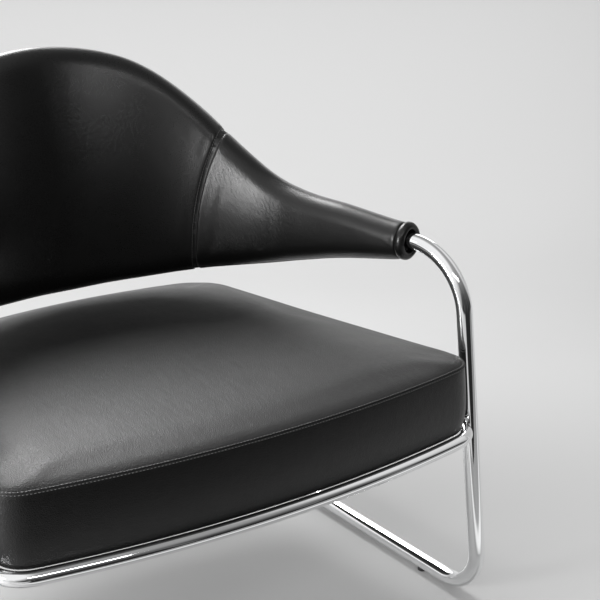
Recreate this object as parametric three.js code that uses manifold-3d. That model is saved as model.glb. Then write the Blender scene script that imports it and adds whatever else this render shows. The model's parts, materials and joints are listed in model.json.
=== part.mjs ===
// A cantilever lounge chair in millimetres, +Z up, with the sitter facing -Y.
// A chromed tube frame carries a leather seat cushion and a leather back that runs out into the arms.
import * as THREE from 'three';
import { mergeVertices } from 'three/addons/utils/BufferGeometryUtils.js';
import Module from 'manifold-3d';

const wasm = await Module();
wasm.setup();

// Clearances
const fitGap = 0.3;
const cutOverrun = 2;

// Tubes
const mainTubeDiameter = 25;
const mainTubeWall = 2.2;
const ringTubeDiameter = 20;
const ringTubeWall = 2;
const hoopTubeWall = 2;

// Base and side frames
const footHalfWidth = 379.5;
const kneeHalfWidth = 387;
const kneeSetback = 86;
const armAxisHeight = 544;
const footBendRadius = 62;
const armBendRadius = 104;
const runnerToeDegrees = 4.7;
const armToeDegrees = 14.2;
const armTubeInsert = 150;
const baseDepth = 610;
const baseCornerRadius = 90;
const floorJointSetback = 400;
const floorSpigotLength = 110;
const floorPinDiameter = 5;

// Glides under the base
const glideHeight = 5;
const glideDiameter = 14;
const glideSaddleRise = 2;
const glideStemDiameter = 5.6;
const glideStemRise = 4;
const frontGlideSetback = 126;
const rearGlideHalfSpan = 215;

// Seat ring, in its own leaned plane
const ringHeight = 292.6;
const ringDropDegrees = 3.4;
const ringSideToeDegrees = 10;
const ringWeldSetback = 14;
const ringCornerRadius = 51;
const ringFrontRadius = 1628;
const ringRearSetback = 568;
const ringRearCornerRadius = 80;
const ringRearRadius = 800;
const ringJointSetback = 330;
const ringSpigotLength = 70;

// Seat tabs, buffers, screws and nuts
const tabThickness = 3;
const tabLength = 38;
const tabWidth = 30;
const tabScrewShare = 0.62;
const tabFrontSetback = 90;
const tabRearSetback = 450;
const bufferDiameter = 22;
const seatScrewDiameter = 6;
const seatScrewHeadDiameter = 11;
const seatScrewHeadHeight = 3.6;
const seatNutBarrelDiameter = 9;
const seatNutFlangeDiameter = 19;
const seatNutFlangeThickness = 1.6;

// Seat cushion
const seatUnderGap = 5;
const seatBorderHeight = 94;
const seatCrownHeight = 21;
const seatFrontInset = 2.3;
const seatRearSetback = 597;
const seatRearCornerRadius = 82;
const seatRearRadius = 833;
const seatSideSwell = 2.5;
const seatHemInset = 3;
const leatherThickness = 2;
const foamGap = 0.95;
const panThickness = 12;
const dustCoverThickness = 1;
const dustCoverInset = 14;
const crownInwardShares = [0, 0.012, 0.04, 0.12, 0.3, 0.65];
const crownRiseShares = [0, 0.2, 0.45, 0.68, 0.87, 0.99];

// Back and arms
const backDepth = 640;
const backTopHeight = 792;
const backBottomHeight = 408;
const armTopHeight = 570;
const armBottomHeight = 516;
const armHalfThickness = 23;
const backHalfThickness = 28;
const backLeanDegrees = 15;
const backCapShare = 1.15;
const leanStartShare = 0.25;
const thickenStartShare = 0.2;
const thickenEndShare = 0.6;
const sleeveSetback = 1;
const backStationShares = [0, 0.05, 0.1, 0.15, 0.2, 0.25, 0.3, 0.35, 0.4, 0.45, 0.5,
  0.55, 0.6, 0.65, 0.7, 0.75, 0.8, 0.85, 0.9, 0.95, 1];
const backTopRiseShares = [0, 0, 0.009, 0.02, 0.03, 0.034, 0.04, 0.056, 0.085, 0.144, 0.234,
  0.342, 0.466, 0.59, 0.705, 0.807, 0.886, 0.938, 0.972, 0.992, 1];
const backBottomDropShares = [0, 0.07, 0.13, 0.19, 0.255, 0.33, 0.415, 0.5, 0.585, 0.66, 0.722,
  0.775, 0.818, 0.865, 0.9, 0.935, 0.96, 0.975, 0.985, 0.995, 1];
const seamStation = 2;

// Inside of the back
const foamStartSetback = 236;
const shellStartSetback = 306;
const shellThickness = 5;
const shellFrontOffset = 9;
const shellEdgeMargin = 20;
const hoopClearance = 0.9;
const hoopPinDiameter = 5;
const hoopPinSetback = 130;
const hoopOverlap = 38;
const shellScrewDiameter = 5;
const shellScrewHeadDiameter = 10;
const shellScrewHeadHeight = 3;
const shellScrewSeatGap = 0.9;
const shellScrewStations = [6, 3];

// Collars at the sleeve mouths
const collarLength = 11;
const collarLip = 1.6;
const collarPlaceShares = [0, 0.3, 0.75, 1];
const collarLipShares = [-1, 0.9, 0.8, -0.6];

// Facet counts
const tubeSides = 12;
const smallSides = 8;
const footBendSteps = 5;
const armBendSteps = 6;
const capSteps = 4;
const flatSteps = 2;
const shellSteps = 16;
const tailSteps = 2;
const armSteps = 5;
const ringSteps = { bow: 6, corner: 5, side: 2, rear: 3 };
const seatSteps = { bow: 5, corner: 4, side: 2, rear: 3 };

// Sizes that follow from the ones above
const mainRadius = mainTubeDiameter / 2;
const mainBoreRadius = mainRadius - mainTubeWall;
const hoopRadius = mainBoreRadius - fitGap;
const ringRadius = ringTubeDiameter / 2;
const ringBoreRadius = ringRadius - ringTubeWall;
const baseAxisHeight = glideHeight + mainRadius;
const seatBottom = ringRadius + seatUnderGap;
const seatSeam = seatBottom + seatBorderHeight;
const ringDrop = THREE.MathUtils.degToRad(ringDropDegrees);
const runnerToe = THREE.MathUtils.degToRad(runnerToeDegrees);
const armToe = THREE.MathUtils.degToRad(armToeDegrees);
const backLean = THREE.MathUtils.degToRad(backLeanDegrees);

// Materials
const chrome = new THREE.MeshStandardMaterial({ color: 0xd4d7da, roughness: 0.08, metalness: 1 });
const steel = new THREE.MeshStandardMaterial({ color: 0x8f9498, roughness: 0.35, metalness: 1 });
const leather = new THREE.MeshStandardMaterial({ color: 0x141414, roughness: 0.45, metalness: 0 });
const foam = new THREE.MeshStandardMaterial({ color: 0xd9cfae, roughness: 0.95, metalness: 0 });
const plywood = new THREE.MeshStandardMaterial({ color: 0xb98f5e, roughness: 0.7, metalness: 0 });
const cloth = new THREE.MeshStandardMaterial({ color: 0x1c1c1e, roughness: 0.95, metalness: 0 });
const plastic = new THREE.MeshStandardMaterial({ color: 0x101010, roughness: 0.5, metalness: 0 });
const rubber = new THREE.MeshStandardMaterial({ color: 0x1a1a1a, roughness: 0.85, metalness: 0 });

const chair = new THREE.Group();

// Adds one named piece to the chair.
function addPiece(name, geometry, material) {
  const mesh = new THREE.Mesh(geometry, material);
  mesh.name = name;
  chair.add(mesh);
}

// Six times the volume that a triangle mesh encloses, negative when it is inside out.
function signedVolume(points, triangles) {
  let total = 0;
  for (let i = 0; i < triangles.length; i += 3) {
    const a = points[triangles[i]];
    const b = points[triangles[i + 1]];
    const c = points[triangles[i + 2]];
    total += a.dot(new THREE.Vector3().crossVectors(b, c));
  }
  return total;
}

// A closed geometry from points and triangles, turned so that its faces point out.
function closedGeometry(points, triangles) {
  const order = triangles.slice();
  if (signedVolume(points, order) < 0) {
    for (let i = 0; i < order.length; i += 3) {
      const swap = order[i + 1];
      order[i + 1] = order[i + 2];
      order[i + 2] = swap;
    }
  }
  const geometry = new THREE.BufferGeometry();
  geometry.setAttribute('position', new THREE.Float32BufferAttribute(points.flatMap((p) => p.toArray()), 3));
  geometry.setIndex(order);
  return geometry;
}

// The points and triangles of any geometry, with shared vertices merged.
function pointsAndTriangles(geometry) {
  const bare = geometry.clone();
  bare.deleteAttribute('normal');
  bare.deleteAttribute('uv');
  const merged = mergeVertices(bare);
  const points = [];
  for (let i = 0; i < merged.attributes.position.count; i += 1) {
    points.push(new THREE.Vector3().fromBufferAttribute(merged.attributes.position, i));
  }
  return { points, triangles: Array.from(merged.index.array) };
}

// The same geometry with its faces pointing out, whichever way they were wound.
function outward(geometry) {
  const { points, triangles } = pointsAndTriangles(geometry);
  return closedGeometry(points, triangles);
}

// The mirror image across the middle plane of the chair.
function mirrored(geometry) {
  const { points, triangles } = pointsAndTriangles(geometry);
  for (const point of points) {
    point.x = -point.x;
  }
  return closedGeometry(points, triangles);
}

function toManifold(geometry) {
  const { points, triangles } = pointsAndTriangles(outward(geometry));
  const vertProperties = new Float32Array(points.flatMap((p) => p.toArray()));
  const triVerts = new Uint32Array(triangles);
  return new wasm.Manifold(new wasm.Mesh({ numProp: 3, vertProperties, triVerts }));
}

function fromManifold(manifold) {
  const mesh = manifold.getMesh();
  const geometry = new THREE.BufferGeometry();
  geometry.setAttribute('position', new THREE.Float32BufferAttribute(mesh.vertProperties, 3));
  geometry.setIndex(Array.from(mesh.triVerts));
  return geometry;
}

// The body with every cutter taken out of it.
function cut(body, cutters) {
  let result = toManifold(body);
  for (const cutter of cutters) {
    result = result.subtract(toManifold(cutter));
  }
  return fromManifold(result);
}

function joined(first, second) {
  return fromManifold(toManifold(first).add(toManifold(second)));
}

// A round bar between two points.
function bar(from, to, radius, sides = smallSides) {
  const along = new THREE.Vector3().subVectors(to, from);
  const geometry = new THREE.CylinderGeometry(radius, radius, along.length(), sides);
  const turn = new THREE.Quaternion().setFromUnitVectors(new THREE.Vector3(0, 1, 0), along.clone().normalize());
  const middle = new THREE.Vector3().addVectors(from, to).multiplyScalar(0.5);
  geometry.applyQuaternion(turn);
  geometry.translate(middle.x, middle.y, middle.z);
  return outward(geometry);
}

// A cutter for a round hole, with its flats at the radius.
function bore(from, to, radius, sides = smallSides) {
  return bar(from, to, radius / Math.cos(Math.PI / sides), sides);
}

// A point moved a distance along a direction.
function moved(point, direction, distance) {
  return point.clone().addScaledVector(direction, distance);
}

// Corner points in a regular polygon; outside keeps its flats at the radius, for bores.
function polygon(radius, sides, outside = false) {
  const reach = outside ? radius / Math.cos(Math.PI / sides) : radius;
  const corners = [];
  for (let i = 0; i < sides; i += 1) {
    const angle = (2 * Math.PI * i) / sides;
    corners.push(new THREE.Vector2(reach * Math.cos(angle), reach * Math.sin(angle)));
  }
  return corners;
}

// A curve that passes only through given stations, each with its own tangent.
class StationCurve extends THREE.Curve {
  constructor(stations) {
    super();
    this.stations = stations;
  }

  station(t) {
    return this.stations[Math.round(t * (this.stations.length - 1))];
  }

  getPoint(t, target = new THREE.Vector3()) {
    return target.copy(this.station(t).point);
  }

  getTangent(t, target = new THREE.Vector3()) {
    return target.copy(this.station(t).tangent);
  }

  getUtoTmapping(u) {
    return u;
  }
}

// Stations along straight runs joined by round bends.
function bentStations(corners, radii, bendSteps) {
  const stations = [];
  const last = corners.length - 1;
  const firstRun = new THREE.Vector3().subVectors(corners[1], corners[0]).normalize();
  stations.push({ point: corners[0].clone(), tangent: firstRun });
  for (let i = 1; i < last; i += 1) {
    const into = new THREE.Vector3().subVectors(corners[i], corners[i - 1]).normalize();
    const out = new THREE.Vector3().subVectors(corners[i + 1], corners[i]).normalize();
    const turn = Math.acos(into.dot(out));
    const setback = radii[i - 1] * Math.tan(turn / 2);
    const start = moved(corners[i], into, -setback);
    const side = out.clone().addScaledVector(into, -into.dot(out)).normalize();
    for (let k = 0; k <= bendSteps[i - 1]; k += 1) {
      const angle = (turn * k) / bendSteps[i - 1];
      const point = moved(start, into, radii[i - 1] * Math.sin(angle));
      point.addScaledVector(side, radii[i - 1] * (1 - Math.cos(angle)));
      const tangent = into.clone().multiplyScalar(Math.cos(angle)).addScaledVector(side, Math.sin(angle));
      stations.push({ point, tangent });
    }
  }
  const lastRun = new THREE.Vector3().subVectors(corners[last], corners[last - 1]).normalize();
  stations.push({ point: corners[last].clone(), tangent: lastRun });
  return stations;
}

// Tangents for a list of points, each the mean of the steps beside it.
function stationsThrough(points) {
  return points.map((point, i) => {
    const before = points[Math.max(i - 1, 0)];
    const after = points[Math.min(i + 1, points.length - 1)];
    const into = new THREE.Vector3().subVectors(point, before).normalize();
    const out = new THREE.Vector3().subVectors(after, point).normalize();
    return { point, tangent: into.add(out).normalize() };
  });
}

// A hollow tube with open ends along its stations.
function tube(stations, radius, boreRadius, sides = tubeSides) {
  const shape = new THREE.Shape(polygon(radius, sides));
  shape.holes.push(new THREE.Path(polygon(boreRadius, smallSides, true)));
  const options = { steps: stations.length - 1, bevelEnabled: false, extrudePath: new StationCurve(stations) };
  return outward(new THREE.ExtrudeGeometry(shape, options));
}

// A solid rod along its stations, with its flats at the radius.
function rod(stations, radius) {
  const shape = new THREE.Shape(polygon(radius, smallSides, true));
  const options = { steps: stations.length - 1, bevelEnabled: false, extrudePath: new StationCurve(stations) };
  return outward(new THREE.ExtrudeGeometry(shape, options));
}

// A solid from two grids of points, one facing out and one facing in; wrapped grids close round.
function slab(outerGrid, innerGrid, wrapped) {
  const rows = outerGrid.length;
  const columns = outerGrid[0].length;
  const points = [...outerGrid.flat(), ...innerGrid.flat()];
  const half = rows * columns;
  const triangles = [];
  const quad = (a, b, c, d) => triangles.push(a, b, c, a, c, d);
  const at = (i, j) => i * columns + (j % columns);
  const across = wrapped ? columns : columns - 1;
  for (let i = 0; i < rows - 1; i += 1) {
    for (let j = 0; j < across; j += 1) {
      const [a, b, c, d] = [at(i, j), at(i + 1, j), at(i + 1, j + 1), at(i, j + 1)];
      // The second half of a wrapped loop runs down, so its diagonals turn to match layers that run up.
      if (wrapped && j >= columns / 2) {
        quad(b, c, d, a);
        quad(half + d, half + c, half + b, half + a);
      } else {
        quad(a, b, c, d);
        quad(half + a, half + d, half + c, half + b);
      }
    }
  }
  for (let j = 0; j < across; j += 1) {
    quad(at(0, j), at(0, j + 1), half + at(0, j + 1), half + at(0, j));
    quad(at(rows - 1, j), half + at(rows - 1, j), half + at(rows - 1, j + 1), at(rows - 1, j + 1));
  }
  if (!wrapped) {
    for (let i = 0; i < rows - 1; i += 1) {
      quad(at(i, 0), half + at(i, 0), half + at(i + 1, 0), at(i + 1, 0));
      const end = columns - 1;
      quad(at(i, end), at(i + 1, end), half + at(i + 1, end), half + at(i, end));
    }
  }
  return closedGeometry(points, triangles);
}

// A solid through a stack of closed loops, with a flat fan over its first and last loop.
function loft(loops) {
  const columns = loops[0].length;
  const points = loops.flat();
  const triangles = [];
  for (let i = 0; i < loops.length - 1; i += 1) {
    for (let j = 0; j < columns; j += 1) {
      const a = i * columns + j;
      const b = i * columns + ((j + 1) % columns);
      triangles.push(a, b, b + columns, a, b + columns, a + columns);
    }
  }
  const middleOf = (loop) => {
    const middle = new THREE.Vector3();
    loop.forEach((point) => middle.add(point));
    return middle.divideScalar(columns);
  };
  const top = (loops.length - 1) * columns;
  points.push(middleOf(loops[0]), middleOf(loops[loops.length - 1]));
  for (let j = 0; j < columns; j += 1) {
    const next = (j + 1) % columns;
    triangles.push(next, j, points.length - 2);
    triangles.push(top + j, top + next, points.length - 1);
  }
  return closedGeometry(points, triangles);
}

// Side frame
const foot = new THREE.Vector3(footHalfWidth, 0, baseAxisHeight);
const knee = new THREE.Vector3(kneeHalfWidth, kneeSetback, armAxisHeight);
const uprightWay = new THREE.Vector3().subVectors(knee, foot).normalize();
const armWay = new THREE.Vector3(-Math.sin(armToe), Math.cos(armToe), 0);
const runnerWay = new THREE.Vector3(-Math.sin(runnerToe), Math.cos(runnerToe), 0);
const armBendSetback = armBendRadius * Math.tan(Math.acos(uprightWay.dot(armWay)) / 2);
const sleeveStart = moved(knee, armWay, armBendSetback + sleeveSetback);
const floorJoint = moved(foot, runnerWay, floorJointSetback);
const down = new THREE.Vector3(0, 0, -1);

// The plan curve of the back: straight along the arm, then round to the middle.
const kneeToRear = backDepth - kneeSetback;
const turnRadius = (kneeHalfWidth * Math.cos(armToe) - kneeToRear * Math.sin(armToe)) / (1 - Math.sin(armToe));
const straightLength = (kneeHalfWidth - turnRadius * Math.cos(armToe)) / Math.sin(armToe)
  - armBendSetback - sleeveSetback;
const halfLength = straightLength + turnRadius * (Math.PI / 2 - armToe);

// Place and outward way on the plan curve, by the distance from the right sleeve mouth.
function planAt(distance) {
  const mirror = distance > halfLength ? -1 : 1;
  const along = Math.min(distance, 2 * halfLength - distance);
  let point;
  let angle = armToe;
  if (along < straightLength) {
    point = moved(sleeveStart, armWay, along);
  } else {
    angle = armToe + (along - straightLength) / turnRadius;
    const turnY = backDepth - turnRadius;
    point = new THREE.Vector3(turnRadius * Math.cos(angle), turnY + turnRadius * Math.sin(angle), armAxisHeight);
  }
  const out = new THREE.Vector3(Math.cos(angle) * mirror, Math.sin(angle), 0);
  point.x *= mirror;
  return { point, out, share: Math.max(along, 0) / halfLength };
}

// Smooth value between table entries.
function tableValue(places, values, place) {
  let i = 1;
  while (i < places.length - 1 && place > places[i]) {
    i += 1;
  }
  const step = (place - places[i - 1]) / (places[i] - places[i - 1]);
  const before = values[Math.max(i - 2, 0)];
  const after = values[Math.min(i + 1, values.length - 1)];
  const slopeStart = (values[i] - before) / 2;
  const slopeEnd = (after - values[i - 1]) / 2;
  const square = step * step;
  const cube = square * step;
  return values[i - 1] * (2 * cube - 3 * square + 1) + slopeStart * (cube - 2 * square + step)
    + values[i] * (3 * square - 2 * cube) + slopeEnd * (cube - square);
}

function smoothShare(value, low, high) {
  const t = THREE.MathUtils.clamp((value - low) / (high - low), 0, 1);
  return t * t * (3 - 2 * t);
}

// The cross-section frame at a distance along the back.
function frameAt(distance) {
  const { point, out, share } = planAt(distance);
  const lean = backLean * smoothShare(share, leanStartShare, 1);
  const up = new THREE.Vector3(0, 0, 1).multiplyScalar(Math.cos(lean)).addScaledVector(out, Math.sin(lean));
  const rear = out.clone().multiplyScalar(Math.cos(lean));
  rear.z = -Math.sin(lean);
  const rise = tableValue(backStationShares, backTopRiseShares, share);
  const fall = tableValue(backStationShares, backBottomDropShares, share);
  const topHeight = armTopHeight + (backTopHeight - armTopHeight) * rise;
  const bottomHeight = armBottomHeight - (armBottomHeight - backBottomHeight) * fall;
  const widen = smoothShare(share, thickenStartShare, thickenEndShare);
  return {
    point,
    up,
    rear,
    out,
    share,
    top: (topHeight - armAxisHeight) / Math.cos(lean),
    bottom: (bottomHeight - armAxisHeight) / Math.cos(lean),
    half: armHalfThickness + (backHalfThickness - armHalfThickness) * widen,
  };
}

// A point of the section by its offset to the rear and its height along the lean.
function sectionPoint(frame, offset, height) {
  return moved(moved(frame.point, frame.rear, offset), frame.up, height);
}

// The rounded end and the flat of one face, bottom to top, as offsets and heights.
function facePath(frame, inset, face, edgeOffset) {
  const half = frame.half - inset;
  const top = frame.top - inset;
  const bottom = frame.bottom + inset;
  const cap = Math.min((top - bottom) / 2, half * backCapShare);
  const endAngle = Math.acos(THREE.MathUtils.clamp(edgeOffset / half, -1, 1));
  const path = [];
  for (let k = 0; k <= capSteps; k += 1) {
    const angle = endAngle * (1 - k / capSteps);
    path.push([face * half * Math.cos(angle), bottom + cap * (1 - Math.sin(angle))]);
  }
  for (let k = 1; k < flatSteps; k += 1) {
    path.push([face * half, bottom + cap + ((top - bottom - 2 * cap) * k) / flatSteps]);
  }
  for (let k = 0; k <= capSteps; k += 1) {
    const angle = (endAngle * k) / capSteps;
    path.push([face * half * Math.cos(angle), top - cap * (1 - Math.sin(angle))]);
  }
  return path;
}

// One face of the back at a distance, as points.
function faceLine(frame, inset, face, edgeOffset) {
  return facePath(frame, inset, face, edgeOffset).map(([offset, height]) => sectionPoint(frame, offset, height));
}

// The whole section at a distance, as points all the way round.
function sectionLoop(frame, inset) {
  const front = faceLine(frame, inset, -1, 0);
  const rear = faceLine(frame, inset, 1, 0);
  return [...front, ...rear.slice(1, -1).reverse()];
}

function spread(from, to, steps) {
  return Array.from({ length: steps + 1 }, (_, i) => from + ((to - from) * i) / steps);
}

// Stations measured from the left sleeve mouth instead, in the same order along the back.
function fromLeft(stations) {
  return stations.map((distance) => 2 * halfLength - distance).reverse();
}

// The stations that every layer of the back shares, so that nested layers keep their gaps.
const shellStations = spread(shellStartSetback, 2 * halfLength - shellStartSetback, shellSteps);
const tailStations = spread(foamStartSetback, shellStartSetback, tailSteps).slice(0, -1);
const foamStations = [...tailStations, ...shellStations, ...fromLeft(tailStations)];
const armStations = spread(collarLength + fitGap, foamStartSetback, armSteps);
const seamGap = fitGap / 2;

// A leather side panel with its sleeve, from the collar to the seam.
function sideCover(onLeft) {
  const fromRight = [...armStations, ...tailStations.slice(1), ...shellStations.slice(0, seamStation + 1)];
  fromRight[fromRight.length - 1] -= seamGap;
  const stations = onLeft ? fromLeft(fromRight) : fromRight;
  const grid = (inset) => stations.map((distance) => sectionLoop(frameAt(distance), inset));
  return slab(grid(0), grid(leatherThickness), true);
}

// A leather centre panel on one face of the back.
function centreCover(face) {
  const stations = shellStations.slice(seamStation, shellStations.length - seamStation);
  stations[0] += seamGap;
  stations[stations.length - 1] -= seamGap;
  const grid = (inset) => stations.map((distance) => faceLine(frameAt(distance), inset, face, seamGap));
  return slab(grid(0), grid(leatherThickness), false);
}

const foamInset = leatherThickness + foamGap;
const shellFront = -shellFrontOffset;
const shellRear = shellThickness - shellFrontOffset;
const hoopRearOffset = shellRear + hoopRadius + hoopClearance;

// The heights at which the shell and the foam against it are creased alike, top to bottom.
function creaseHeights(frame) {
  const clear = hoopRadius + hoopClearance;
  return [frame.top - shellEdgeMargin, clear, -clear, frame.bottom + shellEdgeMargin];
}

// A closed foam loop: up one face of the back and down a flat behind it.
function foamLoop(frame, face, flatOffset) {
  const faceUp = faceLine(frame, foamInset, face, face * flatOffset);
  return [...faceUp, ...creaseHeights(frame).map((height) => sectionPoint(frame, flatOffset, height))];
}

// The foam in front of the shell and, at its ends, in front of the hoop.
function frontFoam() {
  return loft(foamStations.map((distance) => {
    const atShell = shellStations.includes(distance);
    const flat = atShell ? shellFront - fitGap : -hoopRadius - hoopClearance;
    return foamLoop(frameAt(distance), -1, flat);
  }));
}

// The foam behind the shell, with a channel that the hoop lies in.
function rearFoam() {
  const body = loft(foamStations.map((distance) => foamLoop(frameAt(distance), 1, shellRear + fitGap)));
  const channel = rod(stationsThrough(hoopStations.map(hoopPoint)), hoopRadius + hoopClearance);
  return cut(body, [channel]);
}

// The moulded shell that stiffens the back.
function backShell() {
  const grid = (offset) => shellStations.map((distance) => {
    const frame = frameAt(distance);
    return creaseHeights(frame).map((height) => sectionPoint(frame, offset, height));
  });
  return slab(grid(shellFront), grid(shellRear), false);
}

// The hoop runs in the arm tubes' bores and then behind the shell.
const hoopStart = armTubeInsert - sleeveSetback - hoopOverlap;
const hoopFree = armTubeInsert - sleeveSetback;
const hoopStations = [hoopStart, hoopFree, ...foamStations, 2 * halfLength - hoopFree, 2 * halfLength - hoopStart];

function hoopPoint(distance) {
  const fromEnd = Math.min(distance, 2 * halfLength - distance);
  const offset = hoopRearOffset * smoothShare(fromEnd, foamStartSetback, shellStartSetback);
  return sectionPoint(frameAt(distance), offset, 0);
}

// Loops of a round hole for the arm tube, with its flats at the hole's radius.
function armBore(distances, count) {
  const reach = (mainRadius + fitGap) / Math.cos(Math.PI / count);
  return distances.map((distance) => {
    const frame = frameAt(distance);
    return Array.from({ length: count }, (_, j) => {
      const angle = (2 * Math.PI * j) / count;
      return sectionPoint(frame, -reach * Math.sin(angle), -reach * Math.cos(angle));
    });
  });
}

// The foam round an arm tube inside its sleeve.
function armFoam(onLeft) {
  const fromRight = armStations.slice();
  fromRight[fromRight.length - 1] -= fitGap;
  const distances = onLeft ? fromLeft(fromRight) : fromRight;
  const outer = distances.map((distance) => sectionLoop(frameAt(distance), foamInset));
  return slab(outer, armBore(distances, outer[0].length), true);
}

// The rolled leather collar at a sleeve's mouth.
function collar() {
  const distances = collarPlaceShares.map((share) => collarLength * share);
  const outer = distances.map((distance, i) => sectionLoop(frameAt(distance), -collarLip * collarLipShares[i]));
  return slab(outer, armBore(distances, outer[0].length), true);
}

// Seat ring
const ringY = uprightWay.y * ((ringHeight - baseAxisHeight) / uprightWay.z);
const ringUprightX = footHalfWidth + uprightWay.x * ((ringHeight - baseAxisHeight) / uprightWay.z);

// A place in the seat's leaned plane: across, back from the uprights and up.
function seatPoint(across, back, rise) {
  return new THREE.Vector3(
    across,
    ringY + back * Math.cos(ringDrop) + rise * Math.sin(ringDrop),
    ringHeight - back * Math.sin(ringDrop) + rise * Math.cos(ringDrop),
  );
}

function seatDirection(across, back, rise) {
  return seatPoint(across, back, rise).sub(seatPoint(0, 0, 0));
}

const ringToe = THREE.MathUtils.degToRad(ringSideToeDegrees);
const sideWay = new THREE.Vector2(-Math.sin(ringToe), Math.cos(ringToe));
const inwardWay = new THREE.Vector2(-Math.cos(ringToe), -Math.sin(ringToe));

// The ring meets the upright's inner side where its corner bends, flat to flat.
const sideWay3 = seatDirection(sideWay.x, sideWay.y, 0);
const inwardWay3 = seatDirection(inwardWay.x, inwardWay.y, 0);
const common = new THREE.Vector3().crossVectors(uprightWay, sideWay3).normalize();
const flatShare = Math.cos(Math.PI / tubeSides);
const weldReach = (fitGap + (mainRadius + ringRadius) * flatShare) / Math.abs(common.dot(inwardWay3));
const bendReach = ringCornerRadius + weldReach;
const ringOffset = Math.sqrt(bendReach * bendReach - ringWeldSetback * ringWeldSetback) - ringCornerRadius;
const ringPass = new THREE.Vector2(ringUprightX, 0).addScaledVector(inwardWay, ringOffset);

// Where the side line meets a rear corner that is tangent to a rear arc.
function rearCorner(rear) {
  const arcCentre = rear.setback - rear.radius;
  const reach = rear.radius - rear.cornerRadius;
  const from = ringPass.clone().addScaledVector(inwardWay, rear.cornerRadius);
  const offset = new THREE.Vector2(from.x, from.y - arcCentre);
  const along = offset.dot(sideWay);
  const distance = -along + Math.sqrt(along * along - offset.lengthSq() + reach * reach);
  return { centre: from.addScaledVector(sideWay, distance), arcCentre };
}

// Half of the seat's outline from the front middle to the rear middle, moved in by an inset.
function halfOutline(inset, rear, steps) {
  const corner = ringPass.clone().addScaledVector(sideWay, ringWeldSetback)
    .addScaledVector(inwardWay, ringCornerRadius);
  const bowReach = ringFrontRadius - ringCornerRadius;
  const bowCentre = corner.y + Math.sqrt(bowReach * bowReach - corner.x * corner.x);
  const bowEnd = Math.atan2(corner.x, bowCentre - corner.y);
  const outline = [];
  for (let k = 0; k <= steps.bow; k += 1) {
    const angle = (bowEnd * k) / steps.bow;
    const reach = ringFrontRadius - inset;
    outline.push(new THREE.Vector2(reach * Math.sin(angle), bowCentre - reach * Math.cos(angle)));
  }
  const cornerEnd = Math.PI / 2 + ringToe;
  for (let k = 1; k <= steps.corner; k += 1) {
    const angle = bowEnd + ((cornerEnd - bowEnd) * k) / steps.corner;
    const reach = ringCornerRadius - inset;
    outline.push(new THREE.Vector2(corner.x + reach * Math.sin(angle), corner.y - reach * Math.cos(angle)));
  }
  const { centre, arcCentre } = rearCorner(rear);
  const start = outline[outline.length - 1];
  const end = centre.clone().addScaledVector(inwardWay, -(rear.cornerRadius - inset));
  for (let k = 1; k < steps.side; k += 1) {
    outline.push(start.clone().lerp(end, k / steps.side));
  }
  const arcEnd = Math.atan2(centre.x, centre.y - arcCentre);
  const turnEnd = Math.PI - arcEnd;
  for (let k = 0; k <= steps.corner; k += 1) {
    const angle = cornerEnd + ((turnEnd - cornerEnd) * k) / steps.corner;
    const reach = rear.cornerRadius - inset;
    outline.push(new THREE.Vector2(centre.x + reach * Math.sin(angle), centre.y - reach * Math.cos(angle)));
  }
  for (let k = 1; k <= steps.rear; k += 1) {
    const angle = arcEnd * (1 - k / steps.rear);
    const reach = rear.radius - inset;
    outline.push(new THREE.Vector2(reach * Math.sin(angle), arcCentre + reach * Math.cos(angle)));
  }
  return outline;
}

const ringRear = { setback: ringRearSetback, radius: ringRearRadius, cornerRadius: ringRearCornerRadius };
const seatRear = { setback: seatRearSetback, radius: seatRearRadius, cornerRadius: seatRearCornerRadius };

// The closed outline of the seat, right half first.
function seatOutline(inset) {
  const right = halfOutline(inset + seatFrontInset, seatRear, seatSteps);
  const left = right.slice(1, -1).reverse().map((point) => new THREE.Vector2(-point.x, point.y));
  return [...right, ...left];
}

// A loop of the seat at an inset and a rise.
function seatLoop(inset, rise) {
  return seatOutline(inset).map((point) => seatPoint(point.x, point.y, rise));
}

// The seat outline drawn towards its middle by a share.
const seatMiddle = seatRearSetback / 2;
function drawnLoop(inset, share, rise) {
  return seatOutline(inset).map((point) => seatPoint(
    point.x * (1 - share),
    seatMiddle + (point.y - seatMiddle) * (1 - share),
    rise,
  ));
}

// Where the ring tube is parted, on its straight sides.
const jointPoint = ringPass.clone().addScaledVector(sideWay, ringJointSetback);
const jointGap = fitGap / 2;

function ringPath(points) {
  return stationsThrough(points.map((point) => seatPoint(point.x, point.y, 0)));
}

function ringFront() {
  const half = halfOutline(0, ringRear, ringSteps);
  const kept = half.slice(0, ringSteps.bow + ringSteps.corner + 1);
  kept.push(jointPoint.clone().addScaledVector(sideWay, -jointGap));
  const left = kept.slice(1).map((point) => new THREE.Vector2(-point.x, point.y)).reverse();
  return tube(ringPath([...left, ...kept]), ringRadius, ringBoreRadius, tubeSides);
}

function ringBack() {
  const half = halfOutline(0, ringRear, ringSteps);
  const kept = half.slice(ringSteps.bow + ringSteps.corner + ringSteps.side);
  kept.unshift(jointPoint.clone().addScaledVector(sideWay, jointGap));
  const left = kept.slice(0, -1).map((point) => new THREE.Vector2(-point.x, point.y)).reverse();
  return tube(ringPath([...kept, ...left]), ringRadius, ringBoreRadius, tubeSides);
}

function ringSpigot() {
  const ends = [-1, 1].map((way) => jointPoint.clone().addScaledVector(sideWay, (way * ringSpigotLength) / 2));
  const [from, to] = ends.map((point) => seatPoint(point.x, point.y, 0));
  return bar(from, to, ringBoreRadius - fitGap);
}

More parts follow.
